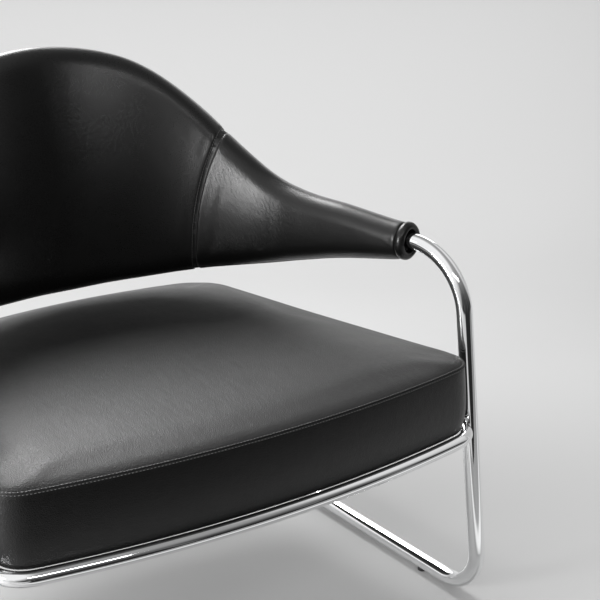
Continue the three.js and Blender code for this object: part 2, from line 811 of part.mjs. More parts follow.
// Seat tabs and what is screwed through them.
const upSeat = seatDirection(0, 0, 1);
const tabReach = ringRadius + fitGap;
const screwReach = tabReach + tabLength * tabScrewShare;
const dustBottom = seatBottom - dustCoverThickness;
const panBottom = seatBottom + fitGap;
const panTop = panBottom + panThickness;
const nutBoreRadius = seatScrewDiameter / 2 + fitGap;

// The place of a tab on the right side, by its distance behind the upright.
function tabPlace(setback) {
  const onRing = ringPass.clone().addScaledVector(sideWay, setback);
  const screw = onRing.clone().addScaledVector(inwardWay, screwReach);
  return { onRing, screw };
}

const tabSetbacks = [tabFrontSetback, tabRearSetback];
const screwPlaces = tabSetbacks.flatMap((setback) => {
  const { screw } = tabPlace(setback);
  return [screw, new THREE.Vector2(-screw.x, screw.y)];
});

// An upright bar in the seat's plane.
function seatBar(place, low, high, radius) {
  return bar(seatPoint(place.x, place.y, low), seatPoint(place.x, place.y, high), radius);
}

// A hole through the seat's plane.
function seatBore(place, low, high, radius) {
  return bore(seatPoint(place.x, place.y, low), seatPoint(place.x, place.y, high), radius);
}

function seatTab(setback) {
  const { onRing, screw } = tabPlace(setback);
  const corners = [
    [tabReach, -tabWidth / 2],
    [tabReach + tabLength, -tabWidth / 2],
    [tabReach + tabLength, tabWidth / 2],
    [tabReach, tabWidth / 2],
  ];
  const place = ([reach, along], rise) => {
    const flat = onRing.clone().addScaledVector(inwardWay, reach).addScaledVector(sideWay, along);
    return seatPoint(flat.x, flat.y, rise);
  };
  const plate = loft([-tabThickness / 2, tabThickness / 2].map((rise) => corners.map((c) => place(c, rise))));
  return cut(plate, [seatBore(screw, -tabThickness, tabThickness, nutBoreRadius)]);
}

// A turned ring standing in the seat's plane, from a closed profile of radii and rises.
function seatTurned(place, profile) {
  const outline = profile.map(([radius, rise]) => new THREE.Vector2(radius, rise));
  outline.push(outline[0].clone());
  const geometry = new THREE.LatheGeometry(outline, smallSides);
  geometry.applyQuaternion(new THREE.Quaternion().setFromUnitVectors(new THREE.Vector3(0, 1, 0), upSeat));
  const centre = seatPoint(place.x, place.y, 0);
  geometry.translate(centre.x, centre.y, centre.z);
  return outward(geometry);
}

function seatBuffer(setback) {
  const low = tabThickness / 2 + fitGap;
  const high = dustBottom - fitGap;
  const outer = bufferDiameter / 2;
  return seatTurned(tabPlace(setback).screw,
    [[nutBoreRadius, low], [outer, low], [outer, high], [nutBoreRadius, high]]);
}

function seatNut(setback) {
  const barrel = seatNutBarrelDiameter / 2;
  const flange = seatNutFlangeDiameter / 2;
  const flangeBottom = panTop - seatNutFlangeThickness;
  return seatTurned(tabPlace(setback).screw, [[nutBoreRadius, panBottom], [barrel, panBottom],
    [barrel, flangeBottom], [flange, flangeBottom], [flange, panTop], [nutBoreRadius, panTop]]);
}

function seatScrew(setback) {
  const { screw } = tabPlace(setback);
  const headTop = -tabThickness / 2 - fitGap;
  const shank = seatBar(screw, headTop - seatScrewHeadHeight / 2, panTop, seatScrewDiameter / 2);
  const head = seatBar(screw, headTop - seatScrewHeadHeight, headTop, seatScrewHeadDiameter / 2);
  return joined(head, shank);
}

function seatPan() {
  const board = loft([panBottom, panTop].map((rise) => seatLoop(foamInset + seatHemInset, rise)));
  const holes = screwPlaces.map((place) => seatBore(place, panBottom - cutOverrun, panTop + cutOverrun,
    seatNutBarrelDiameter / 2 + fitGap));
  const pockets = screwPlaces.map((place) => seatBore(place, panTop - seatNutFlangeThickness - fitGap,
    panTop + cutOverrun, seatNutFlangeDiameter / 2 + fitGap));
  return cut(board, [...holes, ...pockets]);
}

function dustCover() {
  const sheet = loft([dustBottom, seatBottom].map((rise) => seatLoop(dustCoverInset, rise)));
  return cut(sheet, screwPlaces.map((place) => seatBore(place, dustBottom - cutOverrun, seatBottom + cutOverrun,
    nutBoreRadius)));
}

// Seat border: drawn in at the seam and the hem, fuller between.
const borderShares = [0, 0.22, 0.6, 1];
const borderSwellShares = [0, 0.6, 1, 0];
const borderHemShares = [1, 0.1, 0, 0];

function seatBorder() {
  const loop = (inset) => borderShares.map((place, i) => {
    const rise = seatBottom + (seatBorderHeight - fitGap) * place;
    return seatLoop(inset + seatHemInset * borderHemShares[i] - seatSideSwell * borderSwellShares[i], rise);
  });
  return slab(loop(0), loop(leatherThickness), true);
}

// The crowned top: a list of loops from the seam to near the middle.
function crownLoops(inset, lift) {
  return crownInwardShares.map((share, i) => drawnLoop(inset, share,
    seatSeam + lift + seatCrownHeight * crownRiseShares[i]));
}

function seatTopCover() {
  const outer = crownLoops(0, 0);
  const inner = crownLoops(leatherThickness, -leatherThickness);
  inner[0] = drawnLoop(leatherThickness, 0, seatSeam);
  return loft([...inner.reverse(), ...outer]);
}

function seatFoam() {
  const foamBottom = panTop + fitGap;
  const crown = crownLoops(foamInset, -foamInset);
  const low = seatLoop(foamInset + seatHemInset, foamBottom);
  const middle = seatLoop(foamInset, seatBottom + seatBorderHeight * borderShares[2]);
  crown[0] = seatLoop(foamInset, seatSeam - foamInset);
  return loft([low, middle, ...crown]);
}

// Round glides with a saddle for the tube and a stem into it.
function glide(place, along) {
  const padTop = place.clone().setZ(glideHeight + glideSaddleRise);
  const pad = bar(place.clone().setZ(0), padTop, glideDiameter / 2, tubeSides);
  const saddle = bore(moved(place, along, -glideDiameter), moved(place, along, glideDiameter),
    mainRadius + fitGap, tubeSides);
  const stemTop = place.clone().setZ(glideHeight + mainTubeWall + glideStemRise);
  const stem = bar(place.clone().setZ(glideHeight / 2), stemTop, glideStemDiameter / 2);
  return joined(cut(pad, [saddle]), stem);
}

function glideHole(place) {
  const low = place.clone().setZ(0);
  const high = place.clone().setZ(baseAxisHeight);
  return bore(low, high, glideStemDiameter / 2 + fitGap);
}

function throughHole(place, radius) {
  const reach = mainRadius + cutOverrun;
  return bore(moved(place, down, reach), moved(place, down, -reach), radius);
}

const frontGlidePlace = moved(foot, runnerWay, frontGlideSetback);
const rearGlidePlaces = [1, -1].map((side) => new THREE.Vector3(side * rearGlideHalfSpan, baseDepth, baseAxisHeight));
const floorPinPlace = moved(floorJoint, runnerWay, -floorSpigotLength / 4);
const hoopPinPlace = moved(knee, armWay, hoopPinSetback + armBendSetback);
const hoopHoles = fitGap + hoopPinDiameter / 2;

function sideTube() {
  const armEnd = moved(knee, armWay, armTubeInsert + armBendSetback);
  const corners = [armEnd, knee, foot, moved(floorJoint, runnerWay, -jointGap)];
  const stations = bentStations(corners, [armBendRadius, footBendRadius], [armBendSteps, footBendSteps]);
  return cut(tube(stations, mainRadius, mainBoreRadius), [
    glideHole(frontGlidePlace),
    throughHole(floorPinPlace, floorPinDiameter / 2 + fitGap),
    throughHole(hoopPinPlace, hoopHoles),
  ]);
}

function floorBow() {
  const cornerRun = (baseDepth - floorJoint.y) / runnerWay.y;
  const corner = moved(floorJoint, runnerWay, cornerRun);
  const start = moved(floorJoint, runnerWay, jointGap);
  const flip = (point) => new THREE.Vector3(-point.x, point.y, point.z);
  const bends = [baseCornerRadius, baseCornerRadius];
  const stations = bentStations([start, corner, flip(corner), flip(start)], bends, [footBendSteps, footBendSteps]);
  return cut(tube(stations, mainRadius, mainBoreRadius), rearGlidePlaces.map(glideHole));
}

function floorSpigot() {
  const half = floorSpigotLength / 2;
  const round = bar(moved(floorJoint, runnerWay, -half), moved(floorJoint, runnerWay, half), hoopRadius);
  return cut(round, [throughHole(floorPinPlace, floorPinDiameter / 2 + fitGap)]);
}

// A pin that ends just inside the flats of the tube that it crosses.
function crossPin(place, diameter) {
  const reach = mainRadius * Math.cos(Math.PI / tubeSides) - fitGap;
  return bar(moved(place, down, reach), moved(place, down, -reach), diameter / 2);
}

// Screws through the shell into the hoop, at stations that both share.
const screwDistances = shellScrewStations.map((index) => shellStations[index]);
const allScrewDistances = screwDistances.flatMap((distance) => [distance, 2 * halfLength - distance]);

function shellScrewBar(distance, from, to, radius) {
  const frame = frameAt(distance);
  return bar(sectionPoint(frame, from, 0), sectionPoint(frame, to, 0), radius);
}

const screwReachIn = hoopRearOffset - hoopRadius + hoopTubeWall + shellScrewHeadHeight;

function shellScrew(distance) {
  const headRear = shellFront - shellScrewSeatGap;
  const headFront = headRear - shellScrewHeadHeight;
  const head = shellScrewBar(distance, headFront, headRear, shellScrewHeadDiameter / 2);
  const shank = shellScrewBar(distance, headFront + shellScrewHeadHeight / 2, screwReachIn, shellScrewDiameter / 2);
  return joined(head, shank);
}

function shellScrewBore(distance, from, to, radius) {
  const frame = frameAt(distance);
  return bore(sectionPoint(frame, from, 0), sectionPoint(frame, to, 0), radius);
}

function shellScrewHole(distance) {
  return shellScrewBore(distance, shellFront - cutOverrun, 0, shellScrewDiameter / 2 + fitGap);
}

function shellScrewPocket(distance) {
  const depth = shellScrewHeadHeight + shellScrewSeatGap + fitGap;
  return shellScrewBore(distance, shellFront - depth, shellFront + cutOverrun, shellScrewHeadDiameter / 2 + fitGap);
}

function hoop() {
  const left = new THREE.Vector3(-hoopPinPlace.x, hoopPinPlace.y, hoopPinPlace.z);
  const stations = stationsThrough(hoopStations.map(hoopPoint));
  return cut(tube(stations, hoopRadius, hoopRadius - hoopTubeWall, smallSides), [
    throughHole(hoopPinPlace, hoopHoles),
    throughHole(left, hoopHoles),
    ...allScrewDistances.map(shellScrewHole),
  ]);
}

// One piece on the right and its mirror image on the left.
function addPair(name, geometry, material) {
  addPiece(`${name}_right`, geometry, material);
  addPiece(`${name}_left`, mirrored(geometry), material);
}

addPair('side_tube', sideTube(), chrome);
addPiece('floor_bow', floorBow(), chrome);
addPair('floor_spigot', floorSpigot(), steel);
addPair('floor_pin', crossPin(floorPinPlace, floorPinDiameter), steel);
addPair('glide_front', glide(frontGlidePlace, runnerWay), plastic);
addPair('glide_rear', glide(rearGlidePlaces[0], new THREE.Vector3(1, 0, 0)), plastic);
addPiece('seat_ring_front', ringFront(), chrome);
addPiece('seat_ring_rear', ringBack(), chrome);
addPair('ring_spigot', ringSpigot(), steel);
['front', 'rear'].forEach((end, i) => {
  addPair(`seat_tab_${end}`, seatTab(tabSetbacks[i]), steel);
  addPair(`seat_buffer_${end}`, seatBuffer(tabSetbacks[i]), rubber);
  addPair(`seat_screw_${end}`, seatScrew(tabSetbacks[i]), steel);
  addPair(`seat_nut_${end}`, seatNut(tabSetbacks[i]), steel);
});
addPiece('seat_pan', seatPan(), plywood);
addPiece('seat_dust_cover', dustCover(), cloth);
addPiece('seat_foam', seatFoam(), foam);
addPiece('seat_border_cover', seatBorder(), leather);
addPiece('seat_top_cover', seatTopCover(), leather);
addPiece('back_hoop', hoop(), steel);
addPair('hoop_pin', crossPin(hoopPinPlace, hoopPinDiameter), steel);
addPiece('back_shell', cut(backShell(), allScrewDistances.map(shellScrewHole)), plywood);
addPair('shell_screw_inner', shellScrew(screwDistances[0]), steel);
addPair('shell_screw_outer', shellScrew(screwDistances[1]), steel);
addPiece('back_foam_front', cut(frontFoam(), allScrewDistances.map(shellScrewPocket)), foam);
addPiece('back_foam_rear', rearFoam(), foam);
addPiece('arm_foam_right', armFoam(false), foam);
addPiece('arm_foam_left', armFoam(true), foam);
addPiece('back_cover_front', centreCover(-1), leather);
addPiece('back_cover_rear', centreCover(1), leather);
addPiece('side_cover_right', sideCover(false), leather);
addPiece('side_cover_left', sideCover(true), leather);
addPair('sleeve_collar', collar(), leather);

// The origin is on the floor, below the middle of the whole chair.
const extent = new THREE.Box3().setFromObject(chair);
const centre = extent.getCenter(new THREE.Vector3());
chair.position.set(-centre.x, -centre.y, -extent.min.z);

export default chair;
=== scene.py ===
"""Finish for a cantilever lounge chair.

Chromed tube, a black leather seat cushion, and a leather back that runs into the arms.
"""

import itertools
import json
import math

import bmesh
import bpy
import numpy as np
from bpy.props import FloatProperty, FloatVectorProperty, IntProperty, PointerProperty
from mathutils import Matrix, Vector
from mathutils.bvhtree import BVHTree


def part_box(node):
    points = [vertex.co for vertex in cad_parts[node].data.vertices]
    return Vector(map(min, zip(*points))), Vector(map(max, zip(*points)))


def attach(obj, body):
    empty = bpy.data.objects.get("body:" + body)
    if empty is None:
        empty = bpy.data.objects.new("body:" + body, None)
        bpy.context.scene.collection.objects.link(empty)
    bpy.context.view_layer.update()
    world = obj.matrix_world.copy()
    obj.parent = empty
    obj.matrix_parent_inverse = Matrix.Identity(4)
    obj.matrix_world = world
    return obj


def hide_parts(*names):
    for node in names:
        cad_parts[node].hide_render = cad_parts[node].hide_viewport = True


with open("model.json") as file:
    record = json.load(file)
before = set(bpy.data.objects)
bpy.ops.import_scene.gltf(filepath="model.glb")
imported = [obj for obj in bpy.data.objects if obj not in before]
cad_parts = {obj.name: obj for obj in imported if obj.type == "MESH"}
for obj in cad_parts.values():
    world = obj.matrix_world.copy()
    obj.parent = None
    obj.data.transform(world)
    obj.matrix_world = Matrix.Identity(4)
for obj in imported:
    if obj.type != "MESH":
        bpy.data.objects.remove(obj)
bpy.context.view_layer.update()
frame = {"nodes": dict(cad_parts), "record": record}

bl_info = {
    "name": "Cantilever lounge chair",
    "version": (1, 0, 0),
    "blender": (4, 5, 0),
    "location": "3D View > Sidebar > Chair",
    "description": "Builds the chromed tubes, the leather seat and the leather back of a lounge chair",
    "category": "Object",
}

BODY = "root"
MM = 0.001
CORNERS = ("front_right", "front_left", "rear_right", "rear_left")
# Air between pieces that touch, and the step of the points along the outlines of ring and seat
TOUCH_GAP = 0.0003
OUTLINE_STEP = 0.004

# Rise of the back's top and drop of its lower edge, at even stations along its half length
STATION_COUNT = 20
TOP_RISE_SHARES = np.array([0, 0, 0.009, 0.02, 0.03, 0.034, 0.04, 0.056, 0.085, 0.144, 0.234,
                            0.342, 0.466, 0.59, 0.705, 0.807, 0.886, 0.938, 0.972, 0.992, 1])
BOTTOM_DROP_SHARES = np.array([0, 0.07, 0.13, 0.19, 0.255, 0.33, 0.415, 0.5, 0.585, 0.66, 0.722,
                               0.775, 0.818, 0.865, 0.9, 0.935, 0.96, 0.975, 0.985, 0.995, 1])
# How far the seam between the centre and a side has moved towards the middle, from the top down
SEAM_DOWN_SHARES = np.linspace(0, 1, 11)
SEAM_MOVE_SHARES = np.array([0, 0.05, 0.22, 0.41, 0.58, 0.725, 0.85, 0.93, 0.97, 0.99, 1])
# How far the padding of the back stands out along its half length, and how much of it does at the rear
BULGE_PLACES = np.array([0, 0.15, 0.4, 0.6, 1])
BULGE_SHARES = np.array([0.15, 0.4, 1, 0.8, 0.4])
REAR_BULGE = 0.3
# Length of the rounded edge of the back, in heights of the edge
EDGE_RUN = 1.45
# Rows of the arm pads and of the centre pad
ARM_ROWS = 64
CENTRE_ROWS = 74
# How far from a panel seam its pull reaches, and how deep and long the crease behind a collar is
PULL_REACH = 0.016
CREASE_DEPTH = 0.0015
CREASE_LENGTH = 0.005
# Where the lower seam runs, as a share of the height, and how far from the collar it starts
LOWER_SEAM_HEIGHT = 0.045
LOWER_SEAM_START = 0.004
# Points along a panel seam on each face, and along the lower seam
PANEL_SEAM_POINTS = 150
LOWER_SEAM_POINTS = 420
# How far above a surface a seam looks for it, and how wide the surface's normals blend
SEAM_LIFT = 0.0006
NORMAL_BLEND = 0.0004
# How much the seat's seam faces up, for each part that it faces out
SEAM_UP = 0.8
# How much the way round the section may differ within one face before the face crosses the map's edge
MAP_JUMP = 0.03

# The collar's section: along the sleeve, and in from the sleeve's surface
COLLAR_LENGTH = 11 * MM
COLLAR_SECTION = np.array([(11, 1.5), (10.5, 0.4), (9.4, -0.9), (7.5, -2.0), (5.4, -2.3), (3.4, -1.7),
                           (1.7, -0.2), (0.5, 2.0), (0.0, 4.4), (0.3, 6.8), (1.3, 8.6), (3.2, 9.5),
                           (6.0, 9.8), (9.0, 9.9)]) * MM
# Where the collar's inner end lies on the tube, and the steps of its leather along and round the sleeve
COLLAR_TAIL = (10 / 11, 1)
COLLAR_PATTERN = np.array([0.0015, 0.002])

# The crown of the seat: way in from the seam, and rise
CROWN_INWARD_SHARES = np.array([0, 0.006, 0.012, 0.024, 0.04, 0.07, 0.1, 0.17, 0.25, 0.37, 0.5, 0.75, 1])
CROWN_RISE_SHARES = np.array([0, 0.1, 0.2, 0.34, 0.45, 0.56, 0.64, 0.745, 0.82, 0.89, 0.95, 0.99, 1])
# Heights of the loops round the seat's border, how high its hem and its padded lip reach, and how far in
BORDER_LEVELS = np.array([0.012, 0.05, 0.12, 0.22, 0.35, 0.5, 0.65, 0.8, 0.9, 0.965])
HEM_LEVEL = 0.22
LIP_LEVEL = 0.3
LIP_REACH = 0.045

# The cloth under the seat: quads along a side, and its gap to the cushion
DUST_CELLS = 60
DUST_CLEARANCE = 0.0002
# Its hole for a screw, and how far round the screw it is held up
DUST_HOLE_RADIUS = 0.0045
DUST_SCREW_REACH = 0.05
# The puckers at its edge: height, waves in one round, and how far in they reach, as a share
PUCKER_HEIGHT = 0.0005
PUCKER_COUNT = 40
PUCKER_DEPTH = 0.1

# The seat's screws, with the section of their heads in shares of radius and height
SCREW_HEAD_RADIUS = 0.0055
SCREW_HEAD_HEIGHT = 0.0036
SCREW_HEAD_SECTION = np.array([(0, 0.35), (0.55, 0.35), (0.55, 1), (0.72, 0.97), (0.93, 0.6), (1, 0.15),
                               (1, 0)])
SCREW_RADIUS = 0.003
SCREW_LENGTH = 0.028
# The section of the seat's rubber buffers, by radius and height
BUFFER_SECTION = np.array([(3.4, -5.95), (10.2, -5.95), (11, -4.76), (11.3, 0), (11, 4.76), (10.2, 5.95),
                           (3.4, 5.95)]) * MM

# The simulation that fills the leather skins
CLOTH_FRAMES = 20
CLOTH_SETTINGS = {"quality": 5, "mass": 0.4, "tension_stiffness": 22, "compression_stiffness": 22,
                  "shear_stiffness": 12, "bending_stiffness": 1.2, "use_pressure": True,
                  "uniform_pressure_force": 4.0, "vertex_group_mass": "pinned"}

# The seat's border is of glossier leather: fall of the seat to the rear, heights in its middle between
# which the gloss changes, and how much less rough the border is
BORDER_SLOPE = 0.0594
BORDER_BAND = (0.376, 0.384)
BORDER_POLISH = 0.13

# The studio: front edge of the floor, distance, bend and height of the wall, and half the width
FLOOR_FRONT = -1.25
WALL_DISTANCE = 2.6
WALL_BEND = 1.2
WALL_TOP = 3.0
STUDIO_SIDE = 7.0
# The world where the camera sees it itself
SEEN_WORLD = (0.72, 0.72, 0.72)
# Each light's place, the place that it is turned to, its size and its spread in degrees
LIGHTS = {
    "key": ((0.26, 1.85, 2.2), (0, 0, 0.42), (0.9, 0.8), 80),
    "side": ((-2.13, -0.16, 0.82), (0.24, 0.14, 0.58), (0.55, 0.6), 180),
    "arm": ((-1.62, 0.85, 1.42), (0.31, -0.05, 0.56), (0.8, 0.7), 180),
    "front": ((-0.56, -2.12, 2.19), (0.09, 0.3, 0.74), (1.6, 0.25), 180),
    "rear": ((1.2, 1.84, 1.42), (0, 0, 0.5), (2.6, 1.2), 180),
}


def length(name, value, text):
    return FloatProperty(name=name, description=text, default=value, unit="LENGTH", precision=4)


def angle(name, degrees, text):
    return FloatProperty(name=name, description=text, default=math.radians(degrees), subtype="ANGLE")


def share(name, value, text, low=0.0, high=1.0):
    return FloatProperty(name=name, description=text, default=value, min=low, max=high, subtype="FACTOR")


def colour(name, value, text):
    return FloatVectorProperty(name=name, description=text, default=value, size=3, min=0, max=1,
                               subtype="COLOR")


def power(name, value, text):
    return FloatProperty(name=name, description=text, default=value, min=0)


class ChairTubeSizes(bpy.types.PropertyGroup):
    """Sizes of the chromed tubes"""

    main_radius: length("Main tube radius", 0.0125, "Outer radius of the side tubes and the rear bow")
    main_wall: length("Main tube wall", 0.0022, "Wall of the main tube")
    ring_radius: length("Ring tube radius", 0.010, "Outer radius of the seat ring")
    ring_wall: length("Ring tube wall", 0.002, "Wall of the seat ring")
    glide_height: length("Glide height", 0.005, "Height of the glides under the tube")
    foot_half_width: length("Foot half width", 0.3795, "Side of the front corner on the floor")
    knee_half_width: length("Knee half width", 0.387, "Side of the corner under the arm")
    knee_setback: length("Knee setback", 0.086, "How far the upright leans back")
    arm_height: length("Arm height", 0.544, "Height of the arm tube's axis")
    foot_bend: length("Foot bend", 0.062, "Radius of the lower bend")
    arm_bend: length("Arm bend", 0.104, "Radius of the upper bend")
    runner_toe: angle("Runner toe", 4.7, "How far the runners turn in")
    arm_toe: angle("Arm toe", 14.2, "How far the arms turn in")
    arm_insert: length("Arm insert", 0.150, "Straight length of tube inside the sleeve")
    base_depth: length("Base depth", 0.610, "Distance to the rear bow's axis")
    base_corner: length("Base corner", 0.090, "Radius of the rear corners")
    floor_joint: length("Floor joint setback", 0.400, "Where the runner is joined")
    joint_gap: length("Joint gap", 0.00015, "Half of the line at a joint")
    glide_setback: length("Glide setback", 0.126, "Front glide's distance from the corner")
    glide_radius: length("Glide radius", 0.007, "Radius of a glide")


class ChairRingSizes(bpy.types.PropertyGroup):
    """Sizes of the seat ring"""

    height: length("Ring height", 0.2926, "Height of the ring at the uprights")
    drop: angle("Ring drop", 3.4, "How far the ring falls to the rear")
    toe: angle("Ring toe", 10, "How far the ring's sides turn in")
    weld_setback: length("Weld setback", 0.014, "How far behind the upright the corner ends")
    corner: length("Ring corner", 0.051, "Radius of the front corners")
    front: length("Ring front", 1.628, "Radius of the front bow")
    rear_setback: length("Ring rear setback", 0.568, "Distance to the rear of the ring")
    rear_corner: length("Ring rear corner", 0.080, "Radius of the rear corners")
    rear: length("Ring rear", 0.800, "Radius of the rear bow")
    joint: length("Ring joint setback", 0.330, "Where the ring is joined")


class ChairSeatSizes(bpy.types.PropertyGroup):
    """Sizes of the seat cushion"""

    under_gap: length("Gap under the seat", 0.005, "Gap between the ring and the cushion")
    border: length("Border height", 0.094, "Height of the leather border")
    crown: length("Crown height", 0.021, "Rise of the top above its seam")
    front_inset: length("Front inset", 0.0023, "How far the cushion stands back from the ring's line")
    rear_setback: length("Seat rear setback", 0.597, "Distance to the rear of the cushion")
    rear_corner: length("Seat rear corner", 0.082, "Radius of the rear corners")
    rear: length("Seat rear", 0.833, "Radius of the rear edge")
    swell: length("Side swell", 0.0025, "How far the border bulges")
    hem: length("Hem inset", 0.0052, "How far the hem is drawn in")
    puff: length("Seat puff", 0.0025, "How far the leather may move when it is filled")
    lip: length("Hem lip", 0.0078, "How far the padded hem hangs below the pan")
    dust_inset: length("Dust cloth inset", 0.014, "How far the cloth under the seat stands back from the hem")
    dust_slack: length("Dust cloth slack", 0.003, "How far the cloth under the seat hangs between its screws")
    dust_cloth: length("Dust cloth thickness", 0.0006, "Thickness of the cloth under the seat")
    rear_fullness: share("Rear fullness", 1.25, "How much tighter the crown is rolled at the rear", 0, 2)
    cells: IntProperty(name="Seat cells", description="Quads along each side of the top", default=72, min=12)


class ChairBackSizes(bpy.types.PropertyGroup):
    """Sizes of the back and the arms"""

    depth: length("Back depth", 0.640, "Distance to the middle of the back at arm height")
    top: length("Back top", 0.792, "Height of the top")
    bottom: length("Back bottom", 0.408, "Height of the lower edge in the middle")
    arm_top: length("Arm top", 0.570, "Height of the arm's top")
    arm_bottom: length("Arm bottom", 0.516, "Height of the arm's underside")
    arm_half: length("Arm half thickness", 0.023, "Half the thickness of an arm")
    back_half: length("Back half thickness", 0.028, "Half the thickness of the back")
    lean: angle("Back lean", 15, "How far the middle of the back leans")
    cap: share("Edge roundness", 1.15, "Height of the rounded edge, in half thicknesses", 0.5, 2)
    sleeve_setback: length("Sleeve setback", 0.001, "Gap between the bend and the sleeve's mouth")
    collar: length("Collar length", 0.015, "Length of the rolled collar")
    seam_top: length("Seam at the top", 0.3745, "Distance of the seam from the sleeve's mouth, at the top")
    seam_bottom: length("Seam at the bottom", 0.420, "The same distance at the lower edge")
    puff: length("Back puff", 0.0003, "How far the leather may move when it is filled")
    bulge: length("Back bulge", 0.008, "How far the padding bulges in the middle of a side panel")
    shoulder: share("Shoulder", 0.22, "How much thinner the padding is towards its edges")
    pull: length("Seam pull", 0.0005, "How far a panel seam draws the leather in")
    columns: IntProperty(name="Columns", description="Points round the section", default=88, min=24)


class ChairSeamSizes(bpy.types.PropertyGroup):
    """Sizes of the seams and their stitches"""

    ridge: length("Stitch offset", 0.0026, "Distance of each stitch row from the seam")
    height: length("Ridge height", 0.0009, "Height of the ridge under a stitch row")
    edge: length("Seam half width", 0.0042, "Half the width of the raised seam")
    pitch: length("Stitch pitch", 0.0047, "Distance from stitch to stitch")
    stitch: length("Stitch length", 0.0029, "Length of one stitch")
    thread: length("Thread radius", 0.0005, "Radius of the thread")


class ChairColours(bpy.types.PropertyGroup):
    """Colours of the finishes"""

    chrome: colour("Chrome", (0.86, 0.865, 0.87), "Chromium plate")
    leather: colour("Leather", (0.0022, 0.0022, 0.0023), "Black leather")
    leather_worn: colour("Leather, lighter", (0.005, 0.0049, 0.0048), "Leather where the grain is open")
    thread: colour("Thread", (0.1, 0.1, 0.1), "Sewing thread")
    floor: colour("Floor", (0.35, 0.35, 0.35), "Studio floor")


class ChairStage(bpy.types.PropertyGroup):
    """Camera and lights"""

    eye: FloatVectorProperty(name="Camera", description="Place of the camera", size=3, subtype="TRANSLATION",
                             default=(-0.7847, -1.6125, 1.1345))
    azimuth: angle("Azimuth", -33.31, "Direction of the view round the chair")
    pitch: angle("Pitch", 20.42, "How far the camera looks down")
    lens: FloatProperty(name="Lens", description="Focal length in millimetres", default=77.54, min=10)
    key: power("Key light", 14, "Power of the light behind and above")
    ceiling: power("Ceiling", 1.0, "Light of the ceiling, left of the chair")
    side: power("Side light", 66, "Power of the light on the left")
    arm: power("Arm light", 1.0, "Power of the small light for the arm")
    front: power("Front light", 14, "Power of the strip above the camera")
    rear: power("Rear light", 18.5, "Power of the soft light behind")
    glow: power("Floor glow", 0.03, "Light that the whole floor gives off")
    wall: power("Wall glow", 0.28, "What the wall gives off as well")
    near: power("Near glow", 0.66, "What the floor in front gives off as well")


GROUPS = {
    "chair_tube": ChairTubeSizes,
    "chair_ring": ChairRingSizes,
    "chair_seat": ChairSeatSizes,
    "chair_back": ChairBackSizes,
    "chair_seam": ChairSeamSizes,
    "chair_colours": ChairColours,
    "chair_stage": ChairStage,
}


# Meshes


def linked(name, data):
    """An object in the scene, at the origin."""
    obj = bpy.data.objects.new(name, data)
    bpy.context.scene.collection.objects.link(obj)
    return obj


def new_object(name, points, faces=(), edges=()):
    """A mesh object at the origin, from points in metres."""
    mesh = bpy.data.meshes.new(name)
    mesh.from_pydata([tuple(p) for p in points], edges, [tuple(f) for f in faces])
    mesh.update()
    mesh.polygons.foreach_set("use_smooth", np.full(len(mesh.polygons), True))
    return linked(name, mesh)


def new_solid(name, points, faces):
    """A mesh object whose faces look outwards: it is turned inside out if its volume is negative."""
    obj = new_object(name, points, faces)
    mesh = obj.data
    mesh.calc_loop_triangles()
    co = points_of(mesh)
    tris = np.zeros(len(mesh.loop_triangles) * 3, np.int32)
    mesh.loop_triangles.foreach_get("vertices", tris)
    a, b, c = (co[tris.reshape(-1, 3)[:, k]] for k in range(3))
    if np.einsum("ij,ij->i", a, np.cross(b, c)).sum() < 0:
        mesh.flip_normals()
    return obj


def points_of(mesh):
    co = np.zeros(len(mesh.vertices) * 3)
    mesh.vertices.foreach_get("co", co)
    return co.reshape(-1, 3)


def crease_edges(obj, degrees=40):
    """Marks edges sharp where the faces turn by more than an angle."""
    obj.data.set_sharp_from_angle(angle=math.radians(degrees))
    return obj


def grid_faces(rows, columns, wrapped, start=0, closed=False):
    """Quads over points numbered row by row; wrapped joins the sides, closed the first and last row."""
    across = columns if wrapped else columns - 1
    down = rows if closed else rows - 1
    rungs = [(start + i * columns, start + (i + 1) % rows * columns) for i in range(down)]
    return [(a + j, a + (j + 1) % columns, b + (j + 1) % columns, b + j)
            for a, b in rungs for j in range(across)]


def end_fans(rows, columns):
    """Triangles from the first and the last row of a wrapped grid to the two points that follow it."""
    low, first, last = (rows - 1) * columns, rows * columns, rows * columns + 1
    faces = [((j + 1) % columns, j, first) for j in range(columns)]
    return faces + [(low + j, low + (j + 1) % columns, last) for j in range(columns)]


def closed_loop(loop):
    return np.vstack([loop, loop[:1]])


def run_along(path):
    """Length of a path from its start to each of its points."""
    return np.concatenate([[0], np.cumsum(np.linalg.norm(np.diff(path, axis=0), axis=1))])


def sampled(path, run, places):
    """Points of a path at places along it, by the run to each of its points."""
    return np.stack([np.interp(places, run, path[:, k]) for k in range(path.shape[1])], -1)


def tangents_of(path, closed=False):
    path = np.asarray(path, float)
    if closed:
        step = np.roll(path, -1, 0) - np.roll(path, 1, 0)
    else:
        step = np.gradient(path, axis=0)
    return step / np.linalg.norm(step, axis=1)[:, None]


def carried_frames(path):
    """Two cross directions at each point of a path, turned as little as possible along it."""
    tangents = tangents_of(path)
    side = np.cross(tangents[0], [0, 0, 1.0])
    if np.linalg.norm(side) < 0.1:
        side = np.cross(tangents[0], [0, 1.0, 0])
    side /= np.linalg.norm(side)
    sides = [side]
    for tangent in tangents[1:]:
        side = side - tangent * (side @ tangent)
        side = side / np.linalg.norm(side)
        sides.append(side)
    sides = np.array(sides)
    return sides, np.cross(tangents, sides)


